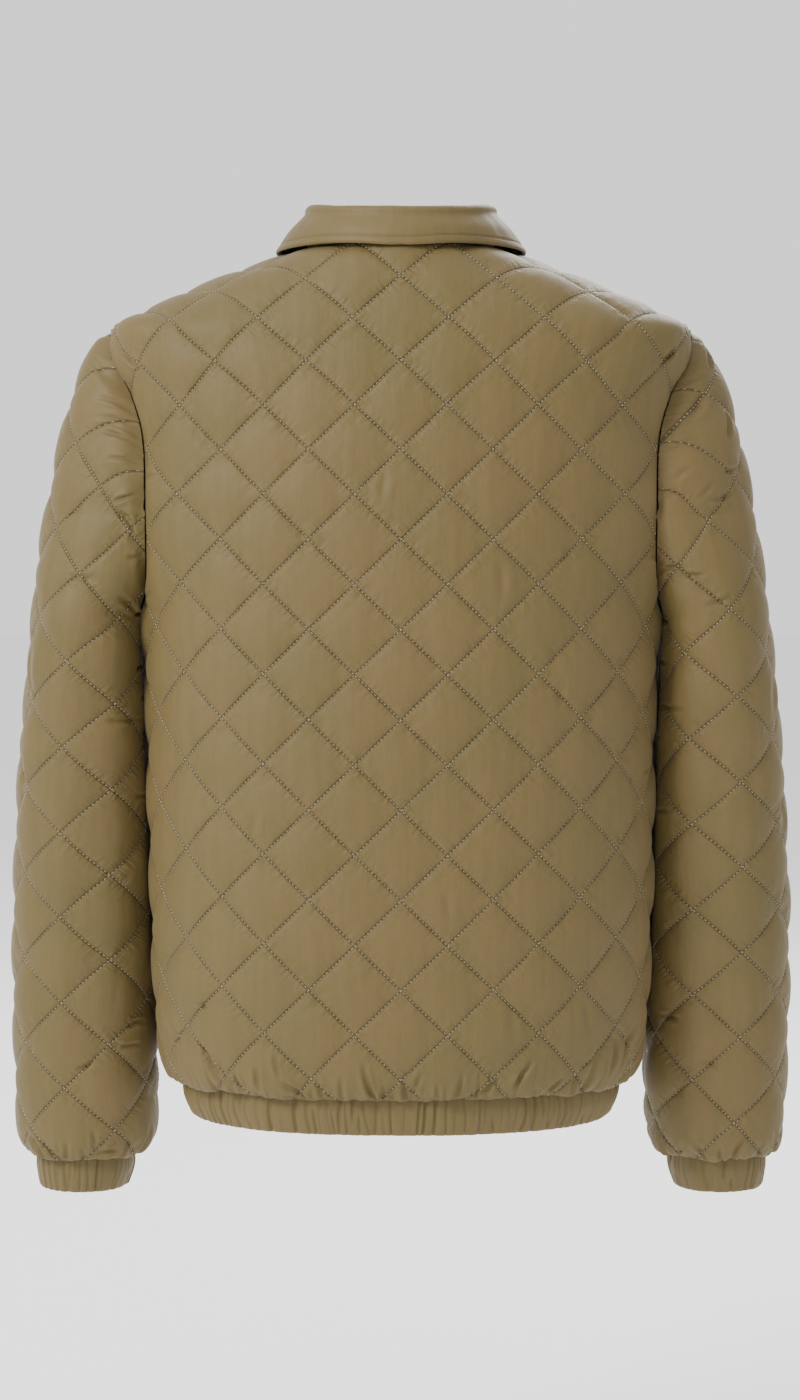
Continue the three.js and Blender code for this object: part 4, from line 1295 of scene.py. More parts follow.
@dataclass
class QuiltedPanel:
    """One quilted piece: built flat in diamonds, cut to its outline and laid on its form."""

    name: str
    form: WornForm
    outline: Outline
    lattice_v: float
    seed: int
    creases: tuple[Crease, ...] = ()
    beside_body: Optional[Side] = None
    gathers: float = 1.0
    ease: float = 0.0
    edge_line: Optional[float] = None

    def __post_init__(self) -> None:
        """Starts the panel's noise."""
        self.noise = Noise(self.seed)

    def lines(self, u: Array, v: Array) -> tuple[Array, Array]:
        """The stitch coordinates of flat points, eased level towards the armhole."""
        level = v - self.ease * self.form.droop(u, v) if self.ease else v
        return QUILTING.lines(u, level - self.lattice_v)

    def unlined(self, p: Array, q: Array) -> tuple[Array, Array]:
        """The flat points of stitch coordinates."""
        u, level = QUILTING.flat(p, q)
        level = level + self.lattice_v
        v = level
        if self.ease:
            for _ in range(24):
                v = level + self.ease * self.form.droop(u, v)
        return u, v

    def rise(self, u: Array, v: Array) -> Array:
        """The height of the outer face at flat points."""
        p, q = self.lines(u, v)
        _, gap = self.outline.nearest(np.stack([u, v], axis=1))
        near_hem = np.exp(-np.maximum(v, 0) / 10)
        swell = smoothstep(gap, 0.3, 8.5 - 4.5 * near_hem)
        ripple = near_hem * (0.8 * self.noise(u / 8 + 12, 0.5) + 0.5 * self.noise(u / 3.3, 7.5))
        crown = QUILTING.height(p, q, self.noise)
        soft = crown / QUILTING.puff
        part = self.noise.cell(np.floor(p), np.floor(q))
        wrinkles = 0.5 * soft * self.noise((u + 2.5 * part) / 9.5, v / 46 + 7 + part)
        wrinkles = wrinkles * (0.45 + 0.55 * self.noise(u / 50, v / 50 + 3))
        wrinkles = wrinkles + 0.8 * self.noise(u / 62 + 3, v / 95)
        gathered = np.exp(-((np.maximum(v, 0) / 24.0) ** 1.5)) * smoothstep(v, 0, 3)
        strength = np.clip(0.45 + self.noise(u / 26, 4.5), 0, 1)
        pleats = np.exp(-((self.noise(u / 10.5 + 30, 0.5 + v / 80) / 0.17) ** 2))
        wrinkles = wrinkles + self.gathers * gathered * strength * (0.7 - 2.6 * pleats)
        drawn_in = np.exp(-((np.maximum(v, 0) / 7.0) ** 1.5)) * (1 + 0.6 * self.noise(u / 19 + 8, 0.5))
        tucks = np.exp(-((self.noise(u / 4.4 + 60, 0.5 + v / 90) / 0.2) ** 2))
        wrinkles = wrinkles + self.gathers * drawn_in * (0.5 - 2.0 * tucks)
        out = QUILTING.stitched - QUILTING.seam + crown + wrinkles
        out = out + QUILTING.puckers(p, q, self.noise) * smoothstep(gap, 0, 5)
        for crease in self.creases:
            out = out - crease.fall(u, v)
        if self.edge_line:
            gap = np.abs(u - self.edge_line)
            out = out * (0.35 + 0.65 * smoothstep(gap, 0, 4)) - 0.5 * np.exp(-((gap / 1.2) ** 2))
        return np.maximum(QUILTING.seam + out * swell + ripple, 1.1)

    def carry(self, u: Array, v: Array, n: Array) -> Array:
        """Points of the worn cloth at heights n, pressed flat where a sleeve meets the body."""
        points = ease_armholes(self.form.point(u, v, n))
        scallop = 2.2 * self.noise(u / 17, 9.5) + 1.3 * self.noise(u / 6.3, 19.5)
        points[:, 2] -= scallop * (1 - smoothstep(v, 0, 15))
        if self.beside_body:
            sign = self.beside_body.value
            x, y, z = points.T
            lean = smoothstep(245 - sign * x, 0, 35)
            lean = lean * smoothstep(-z, 272, 300) * smoothstep(z, -640, -540)
            x = x - sign * 4.5 * lean
            limit = body_outside(y, z, 6.0) + 0.35
            below = smoothstep(-z, 262, 300)
            pressed = np.maximum(sign * x, limit * below + sign * x * (1 - below))
            points[:, 0] = sign * pressed
        else:
            y, z = points[:, 1] - SIDE_Y, points[:, 2]
            gap = np.abs(y)
            closed = np.maximum(gap - 0.5 * np.exp(-gap / 6), 0.03)
            points[:, 1] += np.sign(y) * (closed - gap) * smoothstep(z, -72, -66)
        return points

    def build(self, finishes: Finishes) -> bpy.types.Object:
        """Makes the panel and its stitching.

        Args:
            finishes: the jacket's materials.

        Returns:
            The panel's object.
        """
        cloth = ClothMesh(self.name + "_cloth")
        p, q = self.lines(*self.outline.points.T)
        low = math.floor(p.min()) - 1, math.floor(q.min()) - 1
        high = math.ceil(p.max()) + 1, math.ceil(q.max()) + 1
        spans = [end - start for start, end in zip(low, high)]
        cells = QUILTING.cells
        across, up = (span * cells for span in spans)
        bmesh.ops.create_grid(cloth.bm, x_segments=across, y_segments=up, size=0.5)
        middle = Matrix.Translation((low[0] + spans[0] / 2, low[1] + spans[1] / 2, 0))
        cloth.bm.transform(middle @ Matrix.Diagonal((spans[0], spans[1], 1, 1)))
        cloth.number(cells)
        points = cloth.flat_points()
        for vert, u, v in zip(cloth.bm.verts, *self.unlined(points[:, 0], points[:, 1])):
            vert.co.xy = u, v
        self.mark_stitch_lines(cloth)
        cloth.keep_inside(self.outline)
        cloth.thicken()
        cloth.coarsen_inside()
        cloth.refine(self.has_folds)
        piece = cloth.lay(self.carry_layers, self.weave, finishes.quilted)
        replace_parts(piece, self.name)
        self.stitch(finishes)
        return piece

    def mark_stitch_lines(self, cloth: ClothMesh) -> None:
        """Keeps the fold at each stitch line crisp."""
        layers = [cloth.bm.verts.layers.int[name] for name in ("first", "second")]
        for edge in cloth.bm.edges:
            a, b = edge.verts
            if any(a[layer] == b[layer] and a[layer] % QUILTING.cells == 0 for layer in layers):
                edge.smooth = False

    def has_folds(self, u: Array, v: Array) -> Array:
        """Where the flat panel has creases or gathers."""
        folded = v < 26
        for crease in self.creases:
            folded |= crease.covers(u, v)
        return folded

    def carry_layers(self, u: Array, v: Array, layer: Array) -> Array:
        """Points of the wall's two faces."""
        outside = layer > BETWEEN_LAYERS
        n = np.zeros_like(u)
        n[outside] = self.rise(u[outside], v[outside])
        return self.carry(u, v, n)

    def weave(self, u: Array, v: Array) -> tuple[Array, Array]:
        """UV coordinates in diamonds, from a crossing of the stitch lines."""
        p, q = self.lines(u, v)
        return (p + q) / 2, (p - q) / 2

    def stitch(self, finishes: Finishes) -> None:
        """Sews along both sets of stitch lines.

        Args:
            finishes: the jacket's materials.
        """
        p, q = self.lines(*self.outline.points.T)
        centres, turns = [], []
        step = STITCHING.pitch / QUILTING.side
        for lines, others, swap in ((p, q, False), (q, p, True)):
            along = np.arange(others.min() - 1, others.max() + 1, step)
            for line in range(math.floor(lines.min()), math.ceil(lines.max()) + 1):
                moving = along + 0.4 * step * float(self.noise.cell(line, 77))
                fixed = np.full_like(along, line)
                ends = [
                    self.unlined(at, fixed) if swap else self.unlined(fixed, at)
                    for at in (moving - step / 2, moving + step / 2)
                ]
                (u0, v0), (u1, v1) = ends
                centres.append(np.stack([u0 + u1, v0 + v1], axis=1) / 2)
                turns.append(np.arctan2(v1 - v0, u1 - u0))
        if self.edge_line:
            v = np.arange(3.0, self.outline.points[:, 1].max(), STITCHING.pitch)
            centres.append(np.stack([np.full_like(v, self.edge_line), v], axis=1))
            turns.append(np.full_like(v, math.pi / 2))
        centres, turns = np.concatenate(centres), np.concatenate(turns)
        _, gap = self.outline.nearest(centres)
        keep = self.outline.holds(centres) & (gap > 1.6)
        centres, turns = centres[keep], turns[keep]
        heights = self.rise(centres[:, 0], centres[:, 1]) + 0.10
        STITCHING.sew(
            self.name + "_stitches", centres, turns, heights, self.carry, finishes.thread
        )


class BodyPanels:
    """The back and the two fronts."""

    def __init__(self) -> None:
        """Makes the two worn forms."""
        self.back = body_form(BODY_BACK, -1, 1)
        self.front = body_form(BODY_FRONT, 1, -1)

    def neck_point(self, form: WornForm, turn: float, forward: int) -> tuple[float, float]:
        """Where the neck opening cuts the body.

        Args:
            form: the back's or the fronts' form.
            turn: the angle round the neck from the form's middle line.
            forward: the sign of Y on the form's side.

        Returns:
            The angle of the section and its height.
        """
        radius = NECK_RADIUS + SEAM_GAP
        x = radius * math.sin(turn)
        out = max(forward * (NECK_Y - SIDE_Y) + radius * math.cos(turn), 0)
        low, high = -150.0, BODY_LEVELS[0].z
        for _ in range(45):
            z = (low + high) / 2
            share = (x / form.width(z)) ** form.power + (out / form.depth(z)) ** form.power
            low, high = (z, high) if share < 1 else (low, z)
        half = form.power / 2
        return math.atan2((x / form.width(low)) ** half, (out / form.depth(low)) ** half), low

    def half_outline(self, form: WornForm, forward: int) -> list[tuple[float, float]]:
        """Hem, side seam, armhole, shoulder seam and neck of half the back, or of one front."""
        points = []

        def put(z: float, phi: float, du: float, dv: float) -> None:
            """Adds a corner, drawn back from its seam."""
            u, v = form.flat(phi, z)
            points.append((u - du, v - dv))

        gap = SEAM_GAP / 2
        for z in close_at_ends(form.bottom, ARMHOLE_BOTTOM - 1, 14):
            put(z, math.pi / 2, gap, 0)
        for turn in np.linspace(math.pi, 0, 33)[1:-1]:
            z = ARMHOLE_MIDDLE + ARMHOLE_REACH * math.cos(turn)
            share = min(float(armhole_half(z)) / float(form.depth(z)), 1)
            put(z, math.acos(share ** (form.power / 2)), 0, 0)
        _, neck_z = self.neck_point(form, math.pi / 2, forward)
        for z in np.linspace(ARMHOLE_TOP + 0.5, neck_z, 12)[:-1]:
            put(z, math.pi / 2, 0, gap)
        for i, turn in enumerate(np.linspace(math.pi / 2, 0, 17)):
            phi, z = self.neck_point(form, turn, forward)
            put(z, phi, 0, 0 if i else gap)
        return points

    def back_panel(self, creases: tuple[Crease, ...]) -> QuiltedPanel:
        """The back, with its creases."""
        half = self.half_outline(self.back, 1)
        outline = Outline(half + [(-u, v) for u, v in reversed(half)])
        return QuiltedPanel("back", self.back, outline, 18.0, 5, creases)

    def front_panel(self, side: Side, creases: tuple[Crease, ...]) -> QuiltedPanel:
        """One front, with its creases."""
        half = self.half_outline(self.front, -1)
        half[-1] = (ZIP_OPENING, half[-1][1])
        half.append((ZIP_OPENING, 0.0))
        corners = [(side.value * u, v) for u, v in half]
        outline = Outline(corners if side is Side.LEFT else corners[::-1])
        creases = tuple(crease.on(side) for crease in creases)
        name = "front_" + side.word
        line = side.value * (ZIP_OPENING + TOPSTITCH_IN)
        return QuiltedPanel(name, self.front, outline, 18.0, 11 + side.value, creases, edge_line=line)


class Sleeves:
    """The two sleeves."""

    LATTICE = {Side.LEFT: 58.0, Side.RIGHT: 31.0}

    def panel(self, side: Side, creases: tuple[Crease, ...]) -> QuiltedPanel:
        """One sleeve, with its creases."""
        shape = SleeveShape()
        form = shape.form(side)
        half = []
        for z in close_at_ends(form.bottom, ARMHOLE_BOTTOM, 18):
            u, v = form.flat(math.pi, z)
            half.append((u - SEAM_GAP * 0.8, v))
        evenly = ARMHOLE_MIDDLE + ARMHOLE_REACH * np.cos(np.linspace(math.pi, 0, 37)[1:])
        leaving = SLEEVE_GRAIN_Z + 9 * np.linspace(0.02, 0.95, 9) ** 2
        for z in np.unique(np.concatenate([evenly, leaving])):
            if z > SLEEVE_GRAIN_Z:
                half.append(form.flat(math.pi / 2, min(float(z), form.top)))
            else:
                share = min(float(armhole_half(z)) / float(shape.half_depth(z)), 1)
                half.append(form.flat(math.pi - math.asin(share ** (form.power / 2)), z))
        half[-1] = (0.0, half[-1][1])
        corners = half[:-1] + [(-u, v) for u, v in reversed(half)]
        name = "sleeve_" + side.word
        lattice = self.LATTICE[side]
        return QuiltedPanel(
            name, form, Outline(corners), lattice, 23 + side.value, creases, side, gathers=0.8, ease=0.6
        )


@dataclass
class GatheredBand:
    """A plain band drawn in by elastic, in fine uneven upright folds."""

    name: str
    form: WornForm
    half_length: float
    seed: int
    held: str = "gathered"
    wall: float = 3.0
    cell: float = 0.8

    def __post_init__(self) -> None:
        """Draws the folds' places: uneven spaces, leans, depths and lengths."""
        draw = np.random.default_rng(self.seed)
        self.height = float(self.form.line_v[-1])
        places = [-self.half_length + 2]
        while places[-1] < self.half_length - 3:
            places.append(places[-1] + 2.6 + draw.gamma(2.2, 1.35))
        count = len(places)
        self.folds = np.stack(
            [
                places,
                draw.normal(0, 0.07, count),
                draw.normal(0, 1.0, count),
                0.55 + draw.gamma(1.6, 0.42, count),
                draw.uniform(0.5, 0.95, count),
                np.where(draw.random(count) < 0.25, draw.uniform(8, 24, count), 99),
                np.where(draw.random(count) < 0.18, draw.uniform(8, 20, count), -99),
            ],
            axis=1,
        )

    def rise(self, u: Array, v: Array) -> Array:
        """The height of the outer face: soft bulges parted by sharp uneven folds."""
        noise = Noise(self.seed)
        height = self.wall + 0.45 * noise(u / 6.5, v / 40) + 0.5 * noise(u / 24, v / 60 + 5)
        middle = self.height / 2
        for place, lean, bow, depth, width, top, bottom in self.folds:
            near = np.flatnonzero(np.abs(u - place) < 8)
            level = v[near]
            x = u[near] - place - lean * (level - middle) - bow * ((level - middle) / middle) ** 2
            x = np.where(x > 0, x / (width * 1.9), x / width)
            ends = smoothstep(top - level, 0, 6) * smoothstep(level - bottom, 0, 6)
            height[near] -= min(depth, 2.1) * ends * np.exp(-(x**2))
        edge = smoothstep(np.minimum(v, self.height - v), -0.5, 1.6)
        return np.maximum(height * (0.62 + 0.38 * edge), 1.0)

    def carry(self, u: Array, v: Array, layer: Array) -> Array:
        """Points of the wall's two faces."""
        n = np.where(layer > BETWEEN_LAYERS, self.rise(u, v), 0.0)
        return self.form.point(u, v, n)

    def build(self, finishes: Finishes) -> bpy.types.Object:
        """Makes the band.

        Args:
            finishes: the jacket's materials.

        Returns:
            Its object.
        """
        cloth = ClothMesh(self.name + "_cloth")
        across, height = round(2 * self.half_length / self.cell), self.height
        bmesh.ops.create_grid(cloth.bm, x_segments=across, y_segments=16, size=0.5)
        size = Matrix.Diagonal((2 * self.half_length, height, 1, 1))
        cloth.bm.transform(Matrix.Translation((0, height / 2, 0)) @ size)
        cloth.thicken()
        weave = lambda u, v: (u / WEAVE_UNIT, v / WEAVE_UNIT)
        piece = cloth.lay(self.carry, weave, finishes.band)
        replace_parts(piece, self.name)
        return piece


class Bands:
    """The hem band and the two cuffs."""

    def hem(self) -> GatheredBand:
        """The hem band, open at the centre front."""
        top = HEM_LEVELS[0]
        form = WornForm(
            width=column(HEM_LEVELS, "half_width"),
            depth=column(HEM_LEVELS, "back"),
            far_depth=column(HEM_LEVELS, "front"),
            place=lambda across, out, z: placed(-across, SIDE_Y + out, z - HEM_TILT * out / top.back),
            power=BODY_POWER,
            bottom=HEM_LEVELS[-1].z,
            top=top.z,
            grain=top.z,
            reach=math.pi,
            gather_below=top.z,
        )
        half = form.arc(top.z, math.pi) - ZIP_OPENING - 0.3
        form.tabulate(half + 8, 40)
        return GatheredBand("hem_band", form, half, 31)

    def cuff(self, side: Side) -> GatheredBand:
        """One cuff."""
        x, y = column(CUFF_LEVELS, "x"), column(CUFF_LEVELS, "y")
        form = WornForm(
            width=column(CUFF_LEVELS, "half_depth"),
            depth=column(CUFF_LEVELS, "half_width"),
            place=lambda across, out, z: placed(side.value * (x(z) + out), y(z) + side.value * across, z),
            power=2.0,
            bottom=CUFF_LEVELS[-1].z,
            top=CUFF_LEVELS[0].z,
            grain=CUFF_LEVELS[0].z,
            reach=math.pi,
            gather_below=CUFF_LEVELS[0].z,
        )
        half = form.arc(CUFF_LEVELS[0].z, math.pi) - SEAM_GAP / 2
        form.tabulate(half + 8, 40)
        return GatheredBand("cuff_" + side.word, form, half, 41 + side.value)


@dataclass
class Collar:
    """A plain folded collar, its fall topstitched along its edge."""

    wall: float = 3.0
    fold: float = 3.6
    lift: float = 8.4
    clear: float = 11.0
    tuck: float = 4.0
    stations: int = 300
    rows: int = 84
    topstitch: float = TOPSTITCH_IN
    seed: int = 61

    def body_at(self, angle: Array, radius: Array) -> tuple[Array, Array]:
        """The body's inner face straight below a place seen from above.

        Args:
            angle: angles round the neck in radians.
            radius: distances from its middle.

        Returns:
            The points and the outward directions.
        """

        def place(a: Array, r: Array) -> Array:
            """The body's points there."""
            x, y = r * np.sin(a), NECK_Y + r * np.cos(a)
            low, high = np.full_like(x, -200.0), np.full_like(x, BODY_LEVELS[0].z)
            for _ in range(40):
                z = (low + high) / 2
                depth = np.where(y > SIDE_Y, BODY_BACK(z), BODY_FRONT(z))
                share = (np.abs(x) / BODY_WIDTH(z)) ** BODY_POWER
                share = share + (np.abs(y - SIDE_Y) / depth) ** BODY_POWER
                low, high = np.where(share < 1, z, low), np.where(share < 1, high, z)
            return placed(x, y, low)

        outwards = place(angle, radius + 1) - place(angle, radius - 1)
        around = place(angle + 0.01, radius) - place(angle - 0.01, radius)
        normal = np.cross(around, outwards)
        normal /= np.linalg.norm(normal, axis=1, keepdims=True)
        return place(angle, radius), normal

    def paths(self) -> Array:
        """The middle of the cloth, by station and row, from its tucked-in base to its edge."""
        columns = {
            name: Curve([s.angle for s in COLLAR_STATIONS], [getattr(s, name) for s in COLLAR_STATIONS])
            for name in ("fold_z", "fold_radius", "edge_angle", "edge_radius")
        }
        end = COLLAR_STATIONS[-1].angle
        signed = np.linspace(-end, end, self.stations + 1)
        angle, turn = np.abs(signed), np.radians(signed)

        def around(radius: Array, z: Array) -> Array:
            """Points at the stations' own angles."""
            return placed(radius * np.sin(turn), NECK_Y + radius * np.cos(turn), z)

        seam, _ = self.body_at(turn, np.full_like(turn, NECK_RADIUS))
        base = around(np.full_like(turn, NECK_RADIUS - 2.5), seam[:, 2] - self.tuck)
        fold_z = columns["fold_z"](angle) - self.fold
        rise = around(columns["fold_radius"](angle) - self.fold, fold_z)
        edge_turn = np.radians(columns["edge_angle"](angle)) * np.sign(signed)
        lies, normal = self.body_at(edge_turn, columns["edge_radius"](angle))
        edge = lies + normal * self.lift
        out = (edge - rise) * (1, 1, 0)
        out /= np.linalg.norm(out, axis=1, keepdims=True)
        centre = rise + out * self.fold
        up = np.array([0.0, 0.0, 1.0])
        over = [
            centre + out * self.fold * math.cos(a) + up * self.fold * math.sin(a)
            for a in map(math.radians, (145, 90, 35))
        ]
        down = centre + out * self.fold * 1.15
        down[:, 2] = fold_z - 3
        half = (down + edge) / 2 + (0, 0, 1.5) + out * 1.2
        for part in (down, half):
            x, y = part[:, 0], part[:, 1] - NECK_Y
            below, _ = self.body_at(np.arctan2(x, y), np.hypot(x, y))
            part[:, 2] = np.maximum(part[:, 2], below[:, 2] + self.clear)
        knots = np.stack([base, base * 0.45 + rise * 0.55, rise, *over, down, half, edge], axis=1)
        return self.resample(knots)

    def resample(self, knots: Array) -> Array:
        """Evenly spaced points of a smooth line through each station's knots."""
        before, after = 2 * knots[:, :1] - knots[:, 1:2], 2 * knots[:, -1:] - knots[:, -2:-1]
        padded = np.concatenate([before, knots, after], axis=1)
        fine = []
        for i in range(1, knots.shape[1]):
            p0, p1, p2, p3 = (padded[:, i + k] for k in (-1, 0, 1, 2))
            for t in np.linspace(0, 1, 13)[: 12 + (i == knots.shape[1] - 1)]:
                bent = (2 * p0 - 5 * p1 + 4 * p2 - p3) * t**2 + (3 * p1 - p0 - 3 * p2 + p3) * t**3
                fine.append(0.5 * (2 * p1 + (p2 - p0) * t + bent))
        fine = np.stack(fine, axis=1)
        even = np.zeros((len(fine), self.rows + 1, 3))
        self.lengths = np.zeros(len(fine))
        for k, line in enumerate(fine):
            lengths = lengths_along(line)
            self.lengths[k] = lengths[-1]
            at = np.linspace(0, lengths[-1], self.rows + 1)
            even[k] = np.stack([np.interp(at, lengths, line[:, axis]) for axis in range(3)], axis=1)
        return even

    def surface(self, s: Array, t: Array, n: Array) -> Array:
        """Points of the collar.

        Args:
            s: the place round it, from 0 to the number of stations.
            t: the place along its section, from 0 to the number of rows.
            n: the height over the middle of the cloth.

        Returns:
            The points.
        """

        def read(table: Array, a: Array, b: Array) -> Array:
            """Reads a table between its rows."""
            a, b = np.clip(a, 0, self.stations - 1e-6), np.clip(b, 0, self.rows - 1e-6)
            i, j = a.astype(int), b.astype(int)
            x, y = (a - i)[:, None], (b - j)[:, None]
            low = table[i, j] * (1 - x) + table[i + 1, j] * x
            high = table[i, j + 1] * (1 - x) + table[i + 1, j + 1] * x
            return low * (1 - y) + high * y

        along = read(self.path, s, t + 1) - read(self.path, s, t - 1)
        around = read(self.path, s + 1, t) - read(self.path, s - 1, t)
        normal = np.cross(along, around)
        normal /= np.maximum(np.linalg.norm(normal, axis=1, keepdims=True), 1e-9)
        return read(self.path, s, t) + normal * n[:, None]

    def rise(self, s: Array, t: Array) -> Array:
        """The height of the outer face over the middle of the cloth."""
        noise = Noise(self.seed)
        length = self.lengths[np.clip(s.astype(int), 0, self.stations)]
        from_edge = (self.rows - t) / self.rows * length
        ends = np.minimum(s, self.stations - s) / self.stations * 430
        border = np.minimum(from_edge, ends)
        rounded = smoothstep(border, -0.6, 1.6)
        line = np.where(ends < 30, np.minimum(from_edge, ends), from_edge)
        groove = 1.0 * np.exp(-(((line - self.topstitch) / 0.75) ** 2))
        groove = groove - 0.35 * smoothstep(self.topstitch - line, 0, 2) * smoothstep(line, 0, 3)
        soft = 0.5 * noise(s / 9, t / 15) + 0.25 * noise(s / 3.4, t / 12 + 20)
        return self.wall / 2 * rounded - groove + soft * smoothstep(border, 3, 12) * 0.7

    def carry(self, s: Array, t: Array, layer: Array) -> Array:
        """Points of the wall's two faces."""
        outer = self.rise(s, t)
        inner = -np.minimum(outer, self.wall / 2)
        return self.surface(s, t, np.where(layer > BETWEEN_LAYERS, outer, inner))

    def build(self, finishes: Finishes) -> bpy.types.Object:
        """Makes the collar and its topstitching.

        Args:
            finishes: the jacket's materials.

        Returns:
            The collar's object.
        """
        self.path = self.paths()
        cloth = ClothMesh("collar_cloth")
        bmesh.ops.create_grid(cloth.bm, x_segments=self.stations, y_segments=self.rows, size=0.5)
        scale = Matrix.Diagonal((self.stations, self.rows, 1, 1))
        cloth.bm.transform(Matrix.Translation((self.stations / 2, self.rows / 2, 0)) @ scale)
        cloth.thicken()
        mean = float(self.lengths.mean())
        around = float(lengths_along(self.path[:, -1]).max() + lengths_along(self.path[:, 0]).max()) / 2
        piece = cloth.lay(
            self.carry,
            lambda s, t: (s * around / self.stations / WEAVE_UNIT, t * mean / self.rows / WEAVE_UNIT),
            finishes.plain,
        )
        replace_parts(piece, "collar")
        self.stitch(finishes)
        return piece

    def stitch(self, finishes: Finishes) -> None:
        """Sews a line along the fall's edge."""
        centres, turns = [], []
        at = 0.0
        outer = lengths_along(self.path[:, -4])
        while at < outer[-1]:
            s = float(np.interp(at, outer, np.arange(len(outer))))
            length = float(np.interp(s, np.arange(len(outer)), self.lengths))
            t = self.rows * (1 - self.topstitch / length)
            centres.append((s, t))
            at += STITCHING.pitch
        centres = np.array(centres)[2:-2]
        points, corners = STITCHING.spindle()
        per_s = outer[-1] / self.stations
        per_t = float(self.lengths.mean()) / self.rows
        x, y, z = points.T
        s = centres[:, 0, None] + x / per_s
        t = centres[:, 1, None] + y / per_t
        n = self.rise(centres[:, 0], centres[:, 1])[:, None] + 0.12 + z
        laid = self.surface(s.ravel(), t.ravel(), n.ravel())
        finished(repeated("collar_stitches", laid, corners, True), finishes.thread)


@dataclass
class Zip:
    """The centre-front zip: two woven tapes and the teeth, between the model's own metal parts."""

    bottom: float = -661.0
    top: float = -71.0
    tape_half: float = 13.5
    tape_narrow: float = 4.6
    narrow_from: float = -606.0
    tape_inner: float = -2.3
    tape_outer: float = -1.1
    cord: float = 0.9
    chain_bottom: float = -651.2
    chain_top: float = -80.6
    tooth: tuple[float, float, float] = (3.9, 1.0, 2.8)
    tooth_out: float = 0.7
    pitch: float = 2.5
    low_depths: tuple[tuple[float, float], ...] = ((-622, 113), (-636, 109), (-650, 108), (-665, 105))

    def __post_init__(self) -> None:
        """Lays out the line that the zip follows down the centre front."""
        rows = [(row.z, row.front) for row in BODY_LEVELS if -606 <= row.z <= -56]
        line = Curve(*zip(*rows, *self.low_depths))
        self.stations = np.linspace(self.bottom, self.top, 24)
        self.depths = line(self.stations)

    def depth(self, z: Array) -> Array:
        """How far in front of the side seams the line lies."""
        return np.interp(z, self.stations, self.depths)

    def wide(self, z: Array) -> Array:
        """From the centre to a tape's outer edge."""
        share = smoothstep(z, self.narrow_from - 14, self.narrow_from)
        return self.tape_narrow + (self.tape_half - self.tape_narrow) * share

    def carry(self, x: Array, z: Array, n: Array) -> Array:
        """Points at distances across, up and out of the zip's line."""
        rise = self.depth(z - 1) - self.depth(z + 1)
        size = np.hypot(rise, 2)
        return placed(x, SIDE_Y - self.depth(z) - n * 2 / size, z + n * rise / size)

    def tape(self, side: Side, finishes: Finishes) -> None:
        """Makes one tape, with the cord at its edge that the teeth grip.

        Args:
            side: the wearer's side that it is sewn to.
            finishes: the jacket's materials.
        """
        cloth = ClothMesh(f"zip_tape_{side.word}_weave")
        bmesh.ops.create_grid(cloth.bm, x_segments=16, y_segments=220, size=0.5)
        cloth.bm.transform(Matrix.Translation((0.5, 0.5, 0)))
        cloth.thicken()
        near, height = SEAM_GAP / 2, self.top - self.bottom

        def lie(a: Array, b: Array, layer: Array) -> Array:
            """Points of the tape's two faces."""
            z = self.bottom + b * height
            x = near + a * (self.wide(z) - near)
            bead = self.cord * np.exp(-(((x - 1.5) / 0.9) ** 2)) * (z < self.chain_top + 8)
            ribs = 0.12 * np.cos(2 * math.pi * x / 1.9)
            n = np.where(layer > BETWEEN_LAYERS, self.tape_outer + 0.65 * bead + ribs, self.tape_inner)
            return self.carry(side.value * x, z, n)

        width = self.tape_half - near
        piece = cloth.lay(lie, lambda a, b: (a * width, b * height), finishes.tape)
        if side is Side.RIGHT:
            piece.data.flip_normals()
        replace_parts(piece, f"zip_tape_{side.word}")
        levels = np.linspace(self.bottom, self.top, 400)
        line = np.stack([self.depth(levels), levels], axis=1)

    def chain(self, finishes: Finishes) -> None:
        """Makes the interlocked teeth, alternately from the two tapes."""
        bm = bmesh.new()
        bmesh.ops.create_cube(bm, size=1.0)
        bmesh.ops.scale(bm, vec=self.tooth, verts=bm.verts)
        for vert in bm.verts:
            if vert.co.x < 0:
                vert.co.y *= 0.72
            else:
                vert.co.z *= 0.86
        bmesh.ops.bevel(
            bm,
            geom=bm.edges[:],
            offset=0.22,
            offset_type="OFFSET",
            segments=1,
            profile=0.5,
            affect="EDGES",
            material=-1,
        )
        bmesh.ops.triangulate(bm, faces=bm.faces)
        points, corners = shape_of(bm)
        at = np.arange(self.chain_bottom, self.chain_top, self.pitch / 2)
        side = np.where(np.arange(len(at)) % 2, 1.0, -1.0)[:, None]
        x = side * (points[:, 0] + self.tooth[0] / 2 - 0.9)
        z = at[:, None] + side * points[:, 1]
        n = self.tooth_out + np.broadcast_to(points[:, 2], x.shape)
        mesh = repeated("zip_teeth", self.carry(x.ravel(), z.ravel(), n.ravel()), corners, False)
        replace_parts(finished(mesh, finishes.metal), "zip_chain")

    def build(self, nodes: dict[str, bpy.types.Object], finishes: Finishes) -> None:
        """Makes the tapes and teeth, and gives the model's metal parts their finish.

        Args:
            nodes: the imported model's objects by name.
            finishes: the jacket's materials.
        """
        for side in Side:
            self.tape(side, finishes)
        self.chain(finishes)
        for name in ("zip_slider", "zip_pull", "zip_stop_left", "zip_stop_right", "zip_box"):
            nodes[name].data.materials.clear()
            nodes[name].data.materials.append(finishes.metal)
            LOG.info("%s: metal", name)


